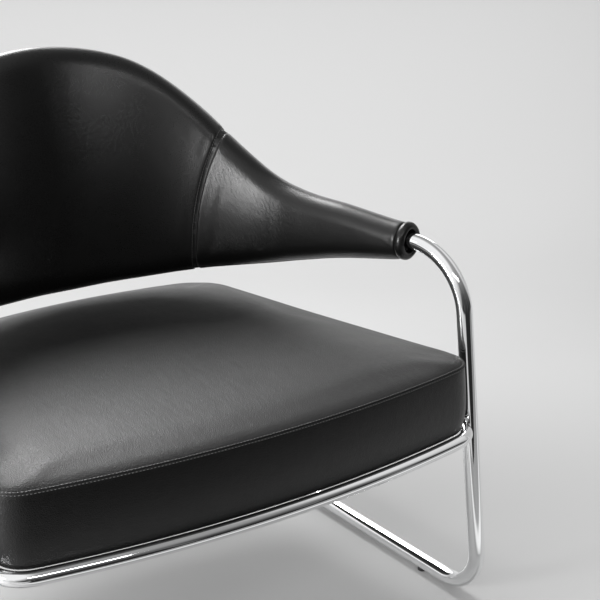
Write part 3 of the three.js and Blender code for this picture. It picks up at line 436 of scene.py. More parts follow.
def tube_mesh(name, path, radius, wall, sides=56, chamfer=0.0004):
    """A hollow tube with small chamfers at its ends."""
    path = np.asarray(path, float)
    ends = tangents_of(path)
    path = np.vstack([path[:1], path[:1] + ends[0] * chamfer, path[1:-1],
                      path[-1:] - ends[-1] * chamfer, path[-1:]])
    first, second = carried_frames(path)
    turn = np.linspace(0, 2 * math.pi, sides, endpoint=False)
    round_way = first[:, None] * np.cos(turn)[:, None] + second[:, None] * np.sin(turn)[:, None]
    reach = np.full(len(path), radius)
    reach[[0, -1]] -= chamfer
    outer = path[:, None] + round_way * reach[:, None, None]
    inner = path[:, None] + round_way * (radius - wall)
    rows = len(path)
    points = np.concatenate([outer.reshape(-1, 3), inner.reshape(-1, 3)])
    faces = grid_faces(rows, sides, True)
    faces += [f[::-1] for f in grid_faces(rows, sides, True, rows * sides)]
    for row in (0, rows - 1):
        for j in range(sides):
            a, b = row * sides + j, row * sides + (j + 1) % sides
            faces.append((a, b, b + rows * sides, a + rows * sides))
    obj = new_solid(name, points, faces)
    for polygon in obj.data.polygons[-2 * sides:]:
        polygon.use_smooth = False
    return crease_edges(obj)


def bent_path(corners, radii, step_degrees=3.0):
    """Points along straight runs joined by round bends."""
    corners = [np.asarray(c, float) for c in corners]
    path = [corners[0]]
    for i, radius in enumerate(radii, 1):
        into = (corners[i] - corners[i - 1]) / np.linalg.norm(corners[i] - corners[i - 1])
        out = (corners[i + 1] - corners[i]) / np.linalg.norm(corners[i + 1] - corners[i])
        turn = math.acos(into @ out)
        start = corners[i] - into * radius * math.tan(turn / 2)
        side = out - into * (into @ out)
        side /= np.linalg.norm(side)
        steps = max(3, round(math.degrees(turn) / step_degrees))
        for a in np.linspace(0, turn, steps + 1):
            path.append(start + into * radius * math.sin(a) + side * radius * (1 - math.cos(a)))
    path.append(corners[-1])
    return spaced(path)


def spaced(path, most=0.02):
    """The same path with no step longer than a length."""
    result = [path[0]]
    for a, b in zip(path, path[1:]):
        steps = max(1, math.ceil(np.linalg.norm(b - a) / most))
        result += [a + (b - a) * k / steps for k in range(1, steps + 1)]
    return np.array(result)


def mirrored_path(path):
    return np.asarray(path) * [-1, 1, 1]


# The chair's own lines, worked out from its sizes


class Lines:
    """Corners, ways and curves of the chair, in the frame of the packed model."""

    def __init__(self, scene):
        self.tube = tube = scene.chair_tube
        self.ring = ring = scene.chair_ring
        self.seat = scene.chair_seat
        self.back = back = scene.chair_back
        low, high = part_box("glide_front_right")
        self.setback = (low.y + high.y) / 2 - tube.glide_setback * math.cos(tube.runner_toe)
        base = tube.glide_height + tube.main_radius
        self.foot = self.at(tube.foot_half_width, 0, base)
        self.knee = self.at(tube.knee_half_width, tube.knee_setback, tube.arm_height)
        self.up = (self.knee - self.foot) / np.linalg.norm(self.knee - self.foot)
        self.arm = np.array([-math.sin(tube.arm_toe), math.cos(tube.arm_toe), 0])
        self.runner = np.array([-math.sin(tube.runner_toe), math.cos(tube.runner_toe), 0])
        self.bend_setback = tube.arm_bend * math.tan(math.acos(self.up @ self.arm) / 2)
        self.sleeve = self.knee + self.arm * (self.bend_setback + back.sleeve_setback)
        to_rear = back.depth - tube.knee_setback
        sine, cosine = math.sin(tube.arm_toe), math.cos(tube.arm_toe)
        self.turn_radius = (tube.knee_half_width * cosine - to_rear * sine) / (1 - sine)
        self.straight = (tube.knee_half_width - self.turn_radius * cosine) / sine - self.bend_setback
        self.straight -= back.sleeve_setback
        self.half = self.straight + self.turn_radius * (math.pi / 2 - tube.arm_toe)
        rise = (ring.height - base) / self.up[2]
        self.ring_y = self.up[1] * rise + self.setback
        self.ring_x = tube.foot_half_width + self.up[0] * rise
        self.drop = math.sin(ring.drop), math.cos(ring.drop)
        self.set_ring()

    def at(self, x, y, z):
        return np.array([x, y + self.setback, z])

    # Seat ring

    def seat_points(self, flat, rise):
        """Points of the seat's leaned plane: across and back from the uprights, and up."""
        flat = np.asarray(flat, float)
        rise = np.broadcast_to(rise, flat.shape[:-1])
        sine, cosine = self.drop
        return np.stack([flat[..., 0], self.ring_y + flat[..., 1] * cosine + rise * sine,
                         self.ring.height - flat[..., 1] * sine + rise * cosine], -1)

    def seat_place(self, point):
        """The flat place, across and back, of a point in the seat's leaned plane."""
        sine, cosine = self.drop
        back, up = point[1] - self.ring_y, point[2] - self.ring.height
        return np.array([point[0], back * cosine - up * sine])

    def set_ring(self):
        toe = self.ring.toe
        self.side_way = np.array([-math.sin(toe), math.cos(toe)])
        self.inward = np.array([-math.cos(toe), -math.sin(toe)])
        zero = self.seat_points([0, 0], 0)
        side = self.seat_points(self.side_way, 0) - zero
        inward = self.seat_points(self.inward, 0) - zero
        common = np.cross(self.up, side)
        common /= np.linalg.norm(common)
        facets = 12
        flats = (self.tube.main_radius + self.tube.ring_radius) * math.cos(math.pi / facets)
        reach = self.ring.corner + (TOUCH_GAP + flats) / abs(common @ inward)
        offset = math.sqrt(reach ** 2 - self.ring.weld_setback ** 2) - self.ring.corner
        self.ring_pass = np.array([self.ring_x, 0]) + self.inward * offset

    def half_outline(self, inset, rear_setback, rear_radius, rear_corner):
        """The ring's or the seat's outline, front to rear middle, as four arcs moved in by an inset."""
        ring = self.ring
        corner = self.ring_pass + self.side_way * ring.weld_setback + self.inward * ring.corner
        bow = ring.front - ring.corner
        bow_y = corner[1] + math.sqrt(bow ** 2 - corner[0] ** 2)
        bow_end = math.atan2(corner[0], bow_y - corner[1])
        corner_end = math.pi / 2 + ring.toe
        rear_y = rear_setback - rear_radius
        start = self.ring_pass + self.inward * rear_corner
        offset = start - [0, rear_y]
        along = offset @ self.side_way
        run = -along + math.sqrt(along ** 2 - offset @ offset + (rear_radius - rear_corner) ** 2)
        rear = start + self.side_way * run
        rear_end = math.atan2(rear[0], rear[1] - rear_y)

        def arc(centre, radius, first, last):
            steps = max(2, math.ceil(abs(last - first) * radius / OUTLINE_STEP))
            a = np.linspace(first, last, steps + 1)
            return centre + radius * np.stack([np.sin(a), -np.cos(a)], -1)

        return [arc(np.array([0, bow_y]), ring.front - inset, 0, bow_end),
                arc(corner, ring.corner - inset, bow_end, corner_end),
                arc(rear, rear_corner - inset, corner_end, math.pi - rear_end),
                arc(np.array([0, rear_y]), rear_radius - inset, math.pi - rear_end, math.pi)]

    def seat_outline(self, inset):
        """The closed outline of the cushion, right half first, as flat points."""
        seat = self.seat
        parts = self.half_outline(inset + seat.front_inset, seat.rear_setback, seat.rear, seat.rear_corner)
        right = evenly(np.vstack([p[:-1] for p in parts[:-1]] + [parts[-1]]), OUTLINE_STEP)
        return np.vstack([right, right[1:-1][::-1] * [-1, 1]])

    # Back

    def plan(self, distance):
        """Axis point and outward way of the back's plan curve."""
        distance = np.asarray(distance, float)
        mirror = np.where(distance > self.half, -1.0, 1.0)
        along = np.minimum(distance, 2 * self.half - distance)
        toe = self.tube.arm_toe
        turn = np.where(along < self.straight, toe, toe + (along - self.straight) / self.turn_radius)
        arm_x = self.sleeve[0] + self.arm[0] * along
        arm_y = self.sleeve[1] + self.arm[1] * along
        centre_y = self.back.depth - self.turn_radius + self.setback
        x = np.where(along < self.straight, arm_x, self.turn_radius * np.cos(turn)) * mirror
        y = np.where(along < self.straight, arm_y, centre_y + self.turn_radius * np.sin(turn))
        out = np.stack([np.cos(turn) * mirror, np.sin(turn), 0 * turn], -1)
        return np.stack([x, y, 0 * x + self.tube.arm_height], -1), out, np.maximum(along, 0) / self.half

    def section(self, distance):
        """Place, up way, rear way, top, bottom and half thickness of the back's section."""
        back = self.back
        point, out, place = self.plan(distance)
        lean = back.lean * smooth_step(place, 0.25, 1)
        up = out * np.sin(lean)[..., None]
        up[..., 2] = np.cos(lean)
        rear = out * np.cos(lean)[..., None]
        rear[..., 2] = -np.sin(lean)
        axis = self.tube.arm_height
        top = back.arm_top + (back.top - back.arm_top) * table_value(TOP_RISE_SHARES, place)
        bottom = back.arm_bottom - (back.arm_bottom - back.bottom) * table_value(BOTTOM_DROP_SHARES, place)
        half = back.arm_half + (back.back_half - back.arm_half) * smooth_step(place, 0.2, 0.6)
        return point, up, rear, (top - axis) / np.cos(lean), (bottom - axis) / np.cos(lean), half

    def face_points(self, distance, height_share, face, inset=0.0):
        """Points of the back's front (-1) or rear (1) face; the share runs along the face, bottom to top."""
        point, up, rear, top, bottom, half = self.section(distance)
        half, top, bottom = half - inset, top - inset, bottom + inset
        cap = np.minimum((top - bottom) / 2, half * self.back.cap)
        bend = cap * EDGE_RUN
        total = 2 * bend + (top - bottom - 2 * cap)
        run = height_share * total
        low, high = run < bend, run > total - bend
        turn = np.where(low, math.pi / 2 * (1 - run / bend),
                        np.where(high, math.pi / 2 * (run - total + bend) / bend, 0))
        stand = self.bulge(distance, height_share) * np.where(face < 0, 1, REAR_BULGE)
        edge = np.clip(1 - np.minimum(run, total - run) / (total * 0.5), 0, 1)
        offset = face * (half * np.cos(turn) * (1 - self.back.shoulder * edge ** 2) + stand)
        height = np.where(low, bottom + cap * (1 - np.sin(turn)),
                          np.where(high, top - cap * (1 - np.sin(turn)), bottom + cap + run - bend))
        return point + rear * offset[..., None] + up * height[..., None]

    def bulge(self, distance, height_share):
        """How far the padding stands out: most on the side panels, a little on the sleeves."""
        place = np.minimum(distance, 2 * self.half - distance) / self.half
        amount = np.interp(place, BULGE_PLACES, BULGE_SHARES)
        return self.back.bulge * amount * np.sin(math.pi * np.clip(height_share, 0, 1) ** 0.8) ** 1.2

    def loop_points(self, distance, inset):
        """Points all round the section, by a distance for each column: up the front and down the rear."""
        columns = self.back.columns
        shares, faces = loop_shares(columns)
        distance = np.broadcast_to(distance, np.shape(distance)[:-1] + (columns,))
        inset = np.broadcast_to(inset, distance.shape)
        return self.face_points(distance, shares, faces, inset), shares

    def seam_distance(self, height_share):
        """The right panel seam's distance from the sleeve's mouth at a share of the height."""
        move = np.interp(1 - height_share, SEAM_DOWN_SHARES, SEAM_MOVE_SHARES)
        return self.back.seam_top + (self.back.seam_bottom - self.back.seam_top) * move


def loop_shares(columns):
    """Share of the height and face side for each column round a section."""
    up = np.linspace(0, 1, columns // 2 + 1)
    shares = np.concatenate([up, up[-2:0:-1]])
    faces = np.concatenate([np.full(columns // 2 + 1, -1.0), np.full(columns // 2 - 1, 1.0)])
    return shares, faces


def smooth_step(value, low, high):
    t = np.clip((np.asarray(value, float) - low) / (high - low), 0, 1)
    return t * t * (3 - 2 * t)


def table_value(values, place):
    """Smooth value between even table entries."""
    place = np.clip(place, 0, 1) * STATION_COUNT
    i = np.clip(np.ceil(place).astype(int), 1, STATION_COUNT)
    t = place - (i - 1)
    before, after = values[np.maximum(i - 2, 0)], values[np.minimum(i + 1, STATION_COUNT)]
    first, last = (values[i] - before) / 2, (after - values[i - 1]) / 2
    return (values[i - 1] * (2 * t ** 3 - 3 * t ** 2 + 1) + first * (t ** 3 - 2 * t ** 2 + t)
            + values[i] * (3 * t ** 2 - 2 * t ** 3) + last * (t ** 3 - t ** 2))


def evenly(path, step):
    """The path as points at even distances of about a step."""
    run = run_along(path)
    count = max(4, round(run[-1] / step))
    return sampled(path, run, np.linspace(0, run[-1], count + 1))


# Node trees and finishes


class Value:
    """A node's socket that takes part in Python sums."""

    def __init__(self, maker, socket):
        self.maker = maker
        self.socket = socket

    def math(self, operation, *others):
        return self.maker.add("ShaderNodeMath", {"operation": operation}, dict(enumerate((self, *others))))

    def __add__(self, other):
        return self.math("ADD", other)

    def __mul__(self, other):
        return self.math("MULTIPLY", other)

    def __sub__(self, other):
        return self.math("SUBTRACT", other)

    __radd__ = __add__
    __rmul__ = __mul__

    def __rsub__(self, other):
        return self.maker.add("ShaderNodeMath", {"operation": "SUBTRACT"}, {0: other, 1: self})

    def between(self, low, high):
        """0 below low, 1 above high, smooth between."""
        return self.maker.add("ShaderNodeMapRange", {"interpolation_type": "SMOOTHSTEP"},
                              {"Value": self, "From Min": low, "From Max": high})


class Maker:
    """A node tree under construction."""

    def __init__(self, tree):
        self.tree = tree
        self.tree.nodes.clear()

    def add(self, kind, settings=None, sockets=None, output=0):
        """A new node's output, from its settings and the values or links of its sockets."""
        node = self.tree.nodes.new(kind)
        for key, value in (settings or {}).items():
            setattr(node, key, value)
        for key, value in (sockets or {}).items():
            if isinstance(value, Value):
                self.tree.links.new(value.socket, node.inputs[key])
            elif value is not None:
                node.inputs[key].default_value = value
        return Value(self, node.outputs[output]) if node.outputs else None

    def object_place(self, scale=(1, 1, 1), turn=(0, 0, 0)):
        place = self.add("ShaderNodeTexCoord", output="Object")
        if scale == (1, 1, 1) and turn == (0, 0, 0):
            return place
        return self.add("ShaderNodeMapping", {}, {"Vector": place, "Scale": scale, "Rotation": turn})

    def uv_place(self, size, turn):
        """Place on the leather, turned and then measured in pattern sizes of metres."""
        place = self.add("ShaderNodeUVMap", {"uv_map": "flow"})
        return self.add("ShaderNodeMapping", {"vector_type": "TEXTURE"},
                        {"Vector": place, "Scale": size, "Rotation": (0, 0, turn)})

    def axis(self, place, name):
        return self.add("ShaderNodeSeparateXYZ", {}, {"Vector": place}, name)

    def along(self, place, way):
        """How far a place lies along a way."""
        return self.add("ShaderNodeVectorMath", {"operation": "DOT_PRODUCT"}, {0: place, 1: way}, "Value")

    def light_path(self):
        """1 for what the camera sees itself, 0 for what only reflects or lights."""
        return self.add("ShaderNodeLightPath", output="Is Camera Ray")

    def noise(self, place, scale, detail=3.0, rough=0.55):
        return self.add("ShaderNodeTexNoise", {},
                        {"Vector": place, "Scale": scale, "Detail": detail, "Roughness": rough})

    def noise_colour(self, place, scale):
        return self.add("ShaderNodeTexNoise", {}, {"Vector": place, "Scale": scale, "Detail": 2.0}, "Color")

    def cells(self, place, scale, feature="DISTANCE_TO_EDGE"):
        return self.add("ShaderNodeTexVoronoi", {"feature": feature}, {"Vector": place, "Scale": scale})

    def mix(self, factor, first, second):
        """A mix of two colours, each a socket or three numbers."""
        colours = {k: v if isinstance(v, Value) else rgba(v) for k, v in ((6, first), (7, second))}
        return self.add("ShaderNodeMix", {"data_type": "RGBA"}, {0: factor, **colours}, 2)

    def grey(self, amount):
        return self.mix(amount, (0, 0, 0), (1, 1, 1))

    def bump(self, height, distance, strength=1.0, normal=None):
        return self.add("ShaderNodeBump", {}, {"Height": height, "Distance": distance, "Strength": strength,
                                               "Normal": normal})


class Finish(Maker):
    """A node material under construction."""

    def __init__(self, name):
        self.material = bpy.data.materials.new(name)
        self.material.use_nodes = True
        super().__init__(self.material.node_tree)

    def finish(self, **sockets):
        """Ends the material in one Principled shader."""
        names = {k.replace("_", " "): v for k, v in sockets.items()}
        shader = self.add("ShaderNodeBsdfPrincipled", {}, names)
        self.add("ShaderNodeOutputMaterial", {}, {"Surface": shader})
        return self.material


def rgba(value):
    return (*value, 1.0)


def chrome_finish(colours):
    f = Finish("polished_chrome")
    place = f.object_place()
    smudge = f.noise(place, 14, 4).between(0.45, 0.75)
    fine = f.noise(place, 900, 2)
    rough = 0.04 + smudge * 0.03 + fine * 0.008
    wave = f.bump(f.noise(place, 24, 1), 0.0002, 0.15)
    return f.finish(Base_Color=rgba(colours.chrome), Metallic=1.0, Roughness=rough, Normal=wave)


def leather_finish(colours, name, gloss, flow=False, drawn=False):
    """Black leather with a fine grain.

    flow adds the arm's short creases, and drawn the seat's faint long folds and its glossier border.
    """
    f = Finish(name)
    place = f.object_place()
    wander = f.noise(place, 60, 2)
    warped = f.add("ShaderNodeVectorMath", {"operation": "ADD"},
                   {0: place, 1: f.add("ShaderNodeVectorMath", {"operation": "SCALE"},
                                       {0: f.noise_colour(place, 160), "Scale": 0.0016})})
    grain = f.cells(warped, 400).between(0.0, 0.35)
    pores = f.noise(place, 1300, 2)
    broad = f.noise(place, 22, 3)
    height = grain * 0.55 + pores * 0.25
    normal = f.bump(height, 0.00036 if drawn else 0.00014, 0.7)
    normal = f.bump(broad, 0.0012, 0.35, normal)
    if drawn:
        back, up = (f.axis(place, name) for name in "YZ")
        gloss = (up + back * BORDER_SLOPE).between(*BORDER_BAND) * BORDER_POLISH + gloss - BORDER_POLISH
        folds = f.noise(f.object_place((95, 16, 60), (0, 0, math.radians(18))), 1, 3, 0.6)
        normal = f.bump(folds, 0.0012, 0.3, normal)
    if flow:
        across = f.noise(f.uv_place((0.003, 0.018, 1), math.radians(-32)), 1, 4, 0.66)
        soft = f.noise(place, 75, 2)
        normal = f.bump(soft, 0.0005, 0.3, normal)
        reach = f.axis(f.add("ShaderNodeUVMap", {"uv_map": "flow"}), "X")
        mask = reach.between(0.14, 0.26)
        normal = f.bump(across * (0.3 + mask), 0.0005, 0.6, normal)
    tone = f.mix(grain * 0.6 + wander * 0.3, colours.leather_worn, colours.leather)
    rough = gloss + broad * 0.08 + (1 - grain) * 0.05
    return f.finish(Base_Color=tone, Roughness=rough, IOR=1.42, Normal=normal)


def plain_finish(name, tone, rough, metal=0.0, grain_scale=400.0, grain=0.0001, vary=0.25):
    f = Finish(name)
    place = f.object_place()
    mottle = f.noise(place, 35, 4)
    light = tuple(min(1, c * (1 + vary)) for c in tone)
    dark = tuple(c * (1 - vary) for c in tone)
    normal = f.bump(f.noise(place, grain_scale, 3), grain, 0.6)
    return f.finish(Base_Color=f.mix(mottle, light, dark), Metallic=metal,
                    Roughness=rough + mottle * 0.1 - 0.05, Normal=normal)


def plywood_finish():
    f = Finish("plywood")
    streaks = f.noise(f.object_place((12, 160, 160)), 3, 6, 0.65)
    tone = f.mix(streaks.between(0.3, 0.7), (0.45, 0.29, 0.15), (0.62, 0.44, 0.26))
    return f.finish(Base_Color=tone, Roughness=0.55 + streaks * 0.15, Normal=f.bump(streaks, 0.0003, 0.4))


def cloth_finish():
    f = Finish("dust_cloth")
    place = f.object_place()
    fibres = f.noise(f.object_place((500, 90, 500)), 3, 5, 0.7)
    spots = f.cells(place, 330, "F1").between(0.1, 0.5)
    tone = f.mix(fibres, (0.02, 0.02, 0.021), (0.045, 0.045, 0.046))
    normal = f.bump(fibres + spots, 0.0003, 0.6)
    return f.finish(Base_Color=tone, Roughness=0.85 + fibres * 0.1, Normal=normal)


FINISHES = {}


def finish_of(name):
    """One material of each kind, made when it is first asked for."""
    colours = bpy.context.scene.chair_colours
    makers = {
        "chrome": lambda: chrome_finish(colours),
        "seat_leather": lambda: leather_finish(colours, "seat_leather", 0.4, drawn=True),
        "back_leather": lambda: leather_finish(colours, "back_leather", 0.23),
        "side_leather": lambda: leather_finish(colours, "side_leather", 0.27, flow=True),
        "thread": lambda: plain_finish("thread", tuple(colours.thread), 0.42, grain_scale=2500),
        "steel": lambda: plain_finish("zinc_steel", (0.5, 0.51, 0.52), 0.38, 1.0, 300, 0.00005, 0.12),
        "rubber": lambda: plain_finish("rubber", (0.018, 0.018, 0.018), 0.7),
        "plastic": lambda: plain_finish("glide_plastic", (0.012, 0.012, 0.012), 0.4, grain_scale=900),
        "foam": lambda: plain_finish("foam", (0.7, 0.62, 0.42), 0.95, grain_scale=900, grain=0.0006),
        "plywood": plywood_finish,
        "cloth": cloth_finish,
    }
    if name not in FINISHES:
        FINISHES[name] = makers[name]()
    return FINISHES[name]


def dress(obj, finish):
    obj.data.materials.clear()
    obj.data.materials.append(finish_of(finish))
    return obj


def place_piece(obj, finish, slot, *nodes):
    """Gives a finished piece its material and body, and hides the nodes that it stands for; the slot is not
    used.
    """
    if finish:
        dress(obj, finish)
    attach(obj, BODY)
    if nodes:
        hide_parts(*nodes)
    return obj


# Soft pieces


def filled(obj, pinned, most):
    """Fills a leather skin by cloth simulation; pinned points hold, and none moves further than most."""
    rest = points_of(obj.data)
    group = obj.vertex_groups.new(name="pinned")
    pinned = np.round(pinned, 2)
    for weight in np.unique(pinned[pinned > 0]):
        group.add(np.flatnonzero(pinned == weight).tolist(), float(weight), "REPLACE")
    cloth = obj.modifiers.new("filling", "CLOTH")
    for key, value in CLOTH_SETTINGS.items():
        setattr(cloth.settings, key, value)
    cloth.settings.effector_weights.gravity = 0
    cloth.collision_settings.use_collision = False
    cloth.point_cache.frame_start = 1
    cloth.point_cache.frame_end = CLOTH_FRAMES
    scene = bpy.context.scene
    for number in range(1, CLOTH_FRAMES + 1):
        scene.frame_set(number)
    depsgraph = bpy.context.evaluated_depsgraph_get()
    moved = points_of(obj.evaluated_get(depsgraph).data) - rest
    obj.modifiers.remove(cloth)
    obj.vertex_groups.remove(group)
    scene.frame_set(1)
    far = np.linalg.norm(moved, axis=1)[:, None]
    scale = np.where(far > 0, most * np.tanh(far / most) / np.maximum(far, 1e-9), 0)
    obj.data.vertices.foreach_set("co", (rest + moved * scale).ravel())
    obj.data.update()
    return obj


def subdivided(obj):
    """Applies a subdivision, so that the piece is a plain mesh."""
    modifier = obj.modifiers.new("fine", "SUBSURF")
    modifier.levels = modifier.render_levels = 1
    modifier.boundary_smooth = "PRESERVE_CORNERS"
    return applied(obj, modifier)


def applied(obj, modifier):
    """Applies the one modifier of an object."""
    depsgraph = bpy.context.evaluated_depsgraph_get()
    mesh = bpy.data.meshes.new_from_object(obj.evaluated_get(depsgraph))
    obj.modifiers.remove(modifier)
    old = obj.data
    obj.data = mesh
    bpy.data.meshes.remove(old)
    obj.data.name = obj.name
    return obj


def surface_tree(*objects):
    """A search tree over the surfaces of objects, with smooth normals."""
    points, faces, normals = [], [], []
    for obj in objects:
        start = len(points)
        points += [v.co.copy() for v in obj.data.vertices]
        normals += [v.normal.copy() for v in obj.data.vertices]
        faces += [tuple(start + i for i in p.vertices) for p in obj.data.polygons]
    tree = BVHTree.FromPolygons(points, faces)
    return tree, points, normals, faces


def draped(surface, point):
    """Nearest surface point and a smooth normal there."""
    tree, points, normals, faces = surface
    spot, flat, index, _ = tree.find_nearest(Vector(point))
    total = Vector((0, 0, 0))
    for i in faces[index]:
        total += normals[i] / (NORMAL_BLEND + (points[i] - spot).length)
    normal = total.normalized()
    return np.array(spot), np.array(normal if normal.dot(flat) > 0.2 else flat)


def seam_profile(seam):
    """Side and height of the raised seam's section, and the two stitch places in it."""
    ridge, height, edge = seam.ridge, seam.height, seam.edge
    sides = np.array([-edge, -edge * 0.9, -ridge * 1.25, -ridge, -ridge * 0.6, -ridge * 0.22, 0,
                      ridge * 0.22, ridge * 0.6, ridge, ridge * 1.25, edge * 0.9, edge])
    heights = np.array([-0.9, 0.05, 0.8, 0.88, 1.0, 0.55, -0.25, 0.55, 1.0, 0.88, 0.8, 0.05, -0.9]) * height
    return sides, heights


def seam_strip(name, path, normals, surface, seam, closed, width=1.0, rise=1.0):
    """A raised, double-stitched seam along a path, laid on a surface; returns it and its two stitch rows."""
    sides, heights = seam_profile(seam)
    sides, heights = sides * width, heights * rise
    tangents = tangents_of(path, closed)
    across = np.cross(normals, tangents)
    across /= np.linalg.norm(across, axis=1)[:, None]
    points, rows = [], {3: [], 9: []}
    for centre, way, up in zip(path, across, normals):
        top = []
        for k, (side, height) in enumerate(zip(sides, heights)):
            spot, normal = draped(surface, centre + way * side + up * SEAM_LIFT)
            normal = normal + up * 0.5
            normal /= np.linalg.norm(normal)
            top.append(spot + normal * height)
            if k in rows:
                rows[k].append(spot + normal * height)
        base = [top[-1] - up * seam.height, top[0] - up * seam.height]
        points += top + base
    columns = len(sides) + 2
    count = len(path)
    faces = grid_faces(count, columns, True, closed=closed)
    if not closed:
        faces += [tuple(range(columns))[::-1], tuple(range((count - 1) * columns, count * columns))]
    obj = new_solid(name, points, faces)
    rows = [np.array(r) for r in rows.values()]
    return crease_edges(obj, 70), [closed_loop(r) for r in rows] if closed else rows


def seam_normals(path, surface, closed):
    return smoothed(np.array([draped(surface, p)[1] for p in path]), 3, closed)


# Geometry Nodes


class Tree(Maker):
    """A Geometry Nodes tree under construction, with named inputs of a kind and a description."""

    def __init__(self, name, inputs):
        super().__init__(bpy.data.node_groups.new(name, "GeometryNodeTree"))
        new_socket = self.tree.interface.new_socket
        new_socket("Geometry", in_out="OUTPUT", socket_type="NodeSocketGeometry")
        new_socket("Geometry", in_out="INPUT", socket_type="NodeSocketGeometry")
        self.identifiers = {}
        for key, (kind, text) in inputs.items():
            item = new_socket(key, in_out="INPUT", socket_type="NodeSocket" + kind, description=text)
            self.identifiers[key] = item.identifier
        self.given = {key: self.add("NodeGroupInput", output=key) for key in ("Geometry", *inputs)}

    def copies(self, points, piece, turn, smooth=False):
        """Ends the tree in copies of a piece at points, in the given material."""
        copies = self.add("GeometryNodeInstanceOnPoints", {},
                          {"Points": points, "Instance": piece, "Rotation": turn})
        made = self.add("GeometryNodeRealizeInstances", {}, {"Geometry": copies})
        if smooth:
            made = self.add("GeometryNodeSetShadeSmooth", {}, {"Geometry": made})
        made = self.add("GeometryNodeSetMaterial", {}, {"Geometry": made, "Material": self.given["Material"]})
        self.add("NodeGroupOutput", {}, {"Geometry": made})
        return self


def stitch_tree():
    """Stitches at even distances along each line of a mesh."""
    t = Tree("stitches_along_a_seam", {
        "Pitch": ("Float", "Distance from stitch to stitch"),
        "Stitch Length": ("Float", "Length of one stitch"),
        "Thread Radius": ("Float", "Radius of the thread"),
        "Material": ("Material", "Finish of the thread")})
    thick = t.given["Thread Radius"]
    curve = t.add("GeometryNodeMeshToCurve", {}, {"Mesh": t.given["Geometry"]})
    even = t.add("GeometryNodeResampleCurve", {"mode": "LENGTH"},
                 {"Curve": curve, "Length": t.given["Pitch"]})
    turn = t.add("FunctionNodeAlignRotationToVector", {"axis": "X"},
                 {"Vector": t.add("GeometryNodeInputTangent")})
    ball = t.add("GeometryNodeMeshUVSphere", {}, {"Segments": 6, "Rings": 5, "Radius": 1.0})
    scale = t.add("ShaderNodeCombineXYZ", {}, {"X": t.given["Stitch Length"] * 0.5, "Y": thick, "Z": thick})
    stitch = t.add("GeometryNodeTransform", {}, {"Geometry": ball, "Scale": scale})
    return t.copies(even, stitch, turn, smooth=True)


def copies_tree():
    """Copies of one fastener at each point of a mesh."""
    t = Tree("fasteners_at_places", {
        "Fastener": ("Object", "The piece that is repeated"),
        "Turn": ("Rotation", "How each copy is turned"),
        "Material": ("Material", "Finish of the fasteners")})
    spots = t.add("GeometryNodeMeshToPoints", {}, {"Mesh": t.given["Geometry"]})
    piece = t.add("GeometryNodeObjectInfo", {}, {"Object": t.given["Fastener"]}, "Geometry")
    return t.copies(spots, piece, t.given["Turn"])


def grown(name, source, tree, values):
    """Runs a tree on an object and turns the result into a plain mesh object."""
    modifier = source.modifiers.new("grow", "NODES")
    modifier.node_group = tree.tree
    for key, value in values.items():
        modifier[tree.identifiers[key]] = value
    depsgraph = bpy.context.evaluated_depsgraph_get()
    mesh = bpy.data.meshes.new_from_object(source.evaluated_get(depsgraph))
    source.modifiers.remove(modifier)
    bpy.data.objects.remove(source)
    mesh.name = name
    return linked(name, mesh)


def line_object(name, lines):
    """Open lines as mesh edges."""
    points, edges = [], []
    for line in lines:
        start = len(points)
        points += [tuple(p) for p in line]
        edges += [(start + i, start + i + 1) for i in range(len(line) - 1)]
    return new_object(name, points, edges=edges)


def stitched(name, lines, seam):
    values = {"Pitch": seam.pitch, "Stitch Length": seam.stitch, "Thread Radius": seam.thread,
              "Material": finish_of("thread")}
    obj = grown(name, line_object(name + "_lines", lines), stitch_tree(), values)
    return place_piece(obj, None, "leather")


# Turned pieces


def turned(name, profile, sides=32):
    """A piece turned about the Z axis: solid if its profile starts and ends on the axis, else a ring."""
    profile = np.array(profile)
    solid = profile[0][0] == 0
    rows = profile[1:-1] if solid else profile
    turn = np.linspace(0, 2 * math.pi, sides, endpoint=False)
    points = np.stack([rows[:, None, 0] * np.cos(turn), rows[:, None, 0] * np.sin(turn),
                       np.repeat(rows[:, 1:], sides, 1)], -1).reshape(-1, 3)
    faces = grid_faces(len(rows), sides, True, closed=not solid)
    if solid:
        points = np.vstack([points, [(0, 0, profile[0][1]), (0, 0, profile[-1][1])]])
        faces += end_fans(len(rows), sides)
    return new_solid(name, points, faces)


def placed(name, obj, turn, place):
    """A new object with another's mesh, turned by a 3 by 3 array and moved; the other is removed."""
    points = points_of(obj.data) @ turn.T + np.asarray(place)
    faces = [tuple(p.vertices) for p in obj.data.polygons]
    bpy.data.objects.remove(obj)
    return new_solid(name, points, faces)


def box_middle(node):
    low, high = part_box(node)
    return (low + high) / 2


def button_screw(name):
    """A button-head screw, head down, with a socket in its head; its seat is at height zero."""
    head = SCREW_HEAD_SECTION * [SCREW_HEAD_RADIUS, -SCREW_HEAD_HEIGHT]
    shank = [(SCREW_RADIUS, 0), (SCREW_RADIUS, SCREW_LENGTH), (0, SCREW_LENGTH)]
    return turned(name, np.vstack([head, shank]), 24)


# Operators


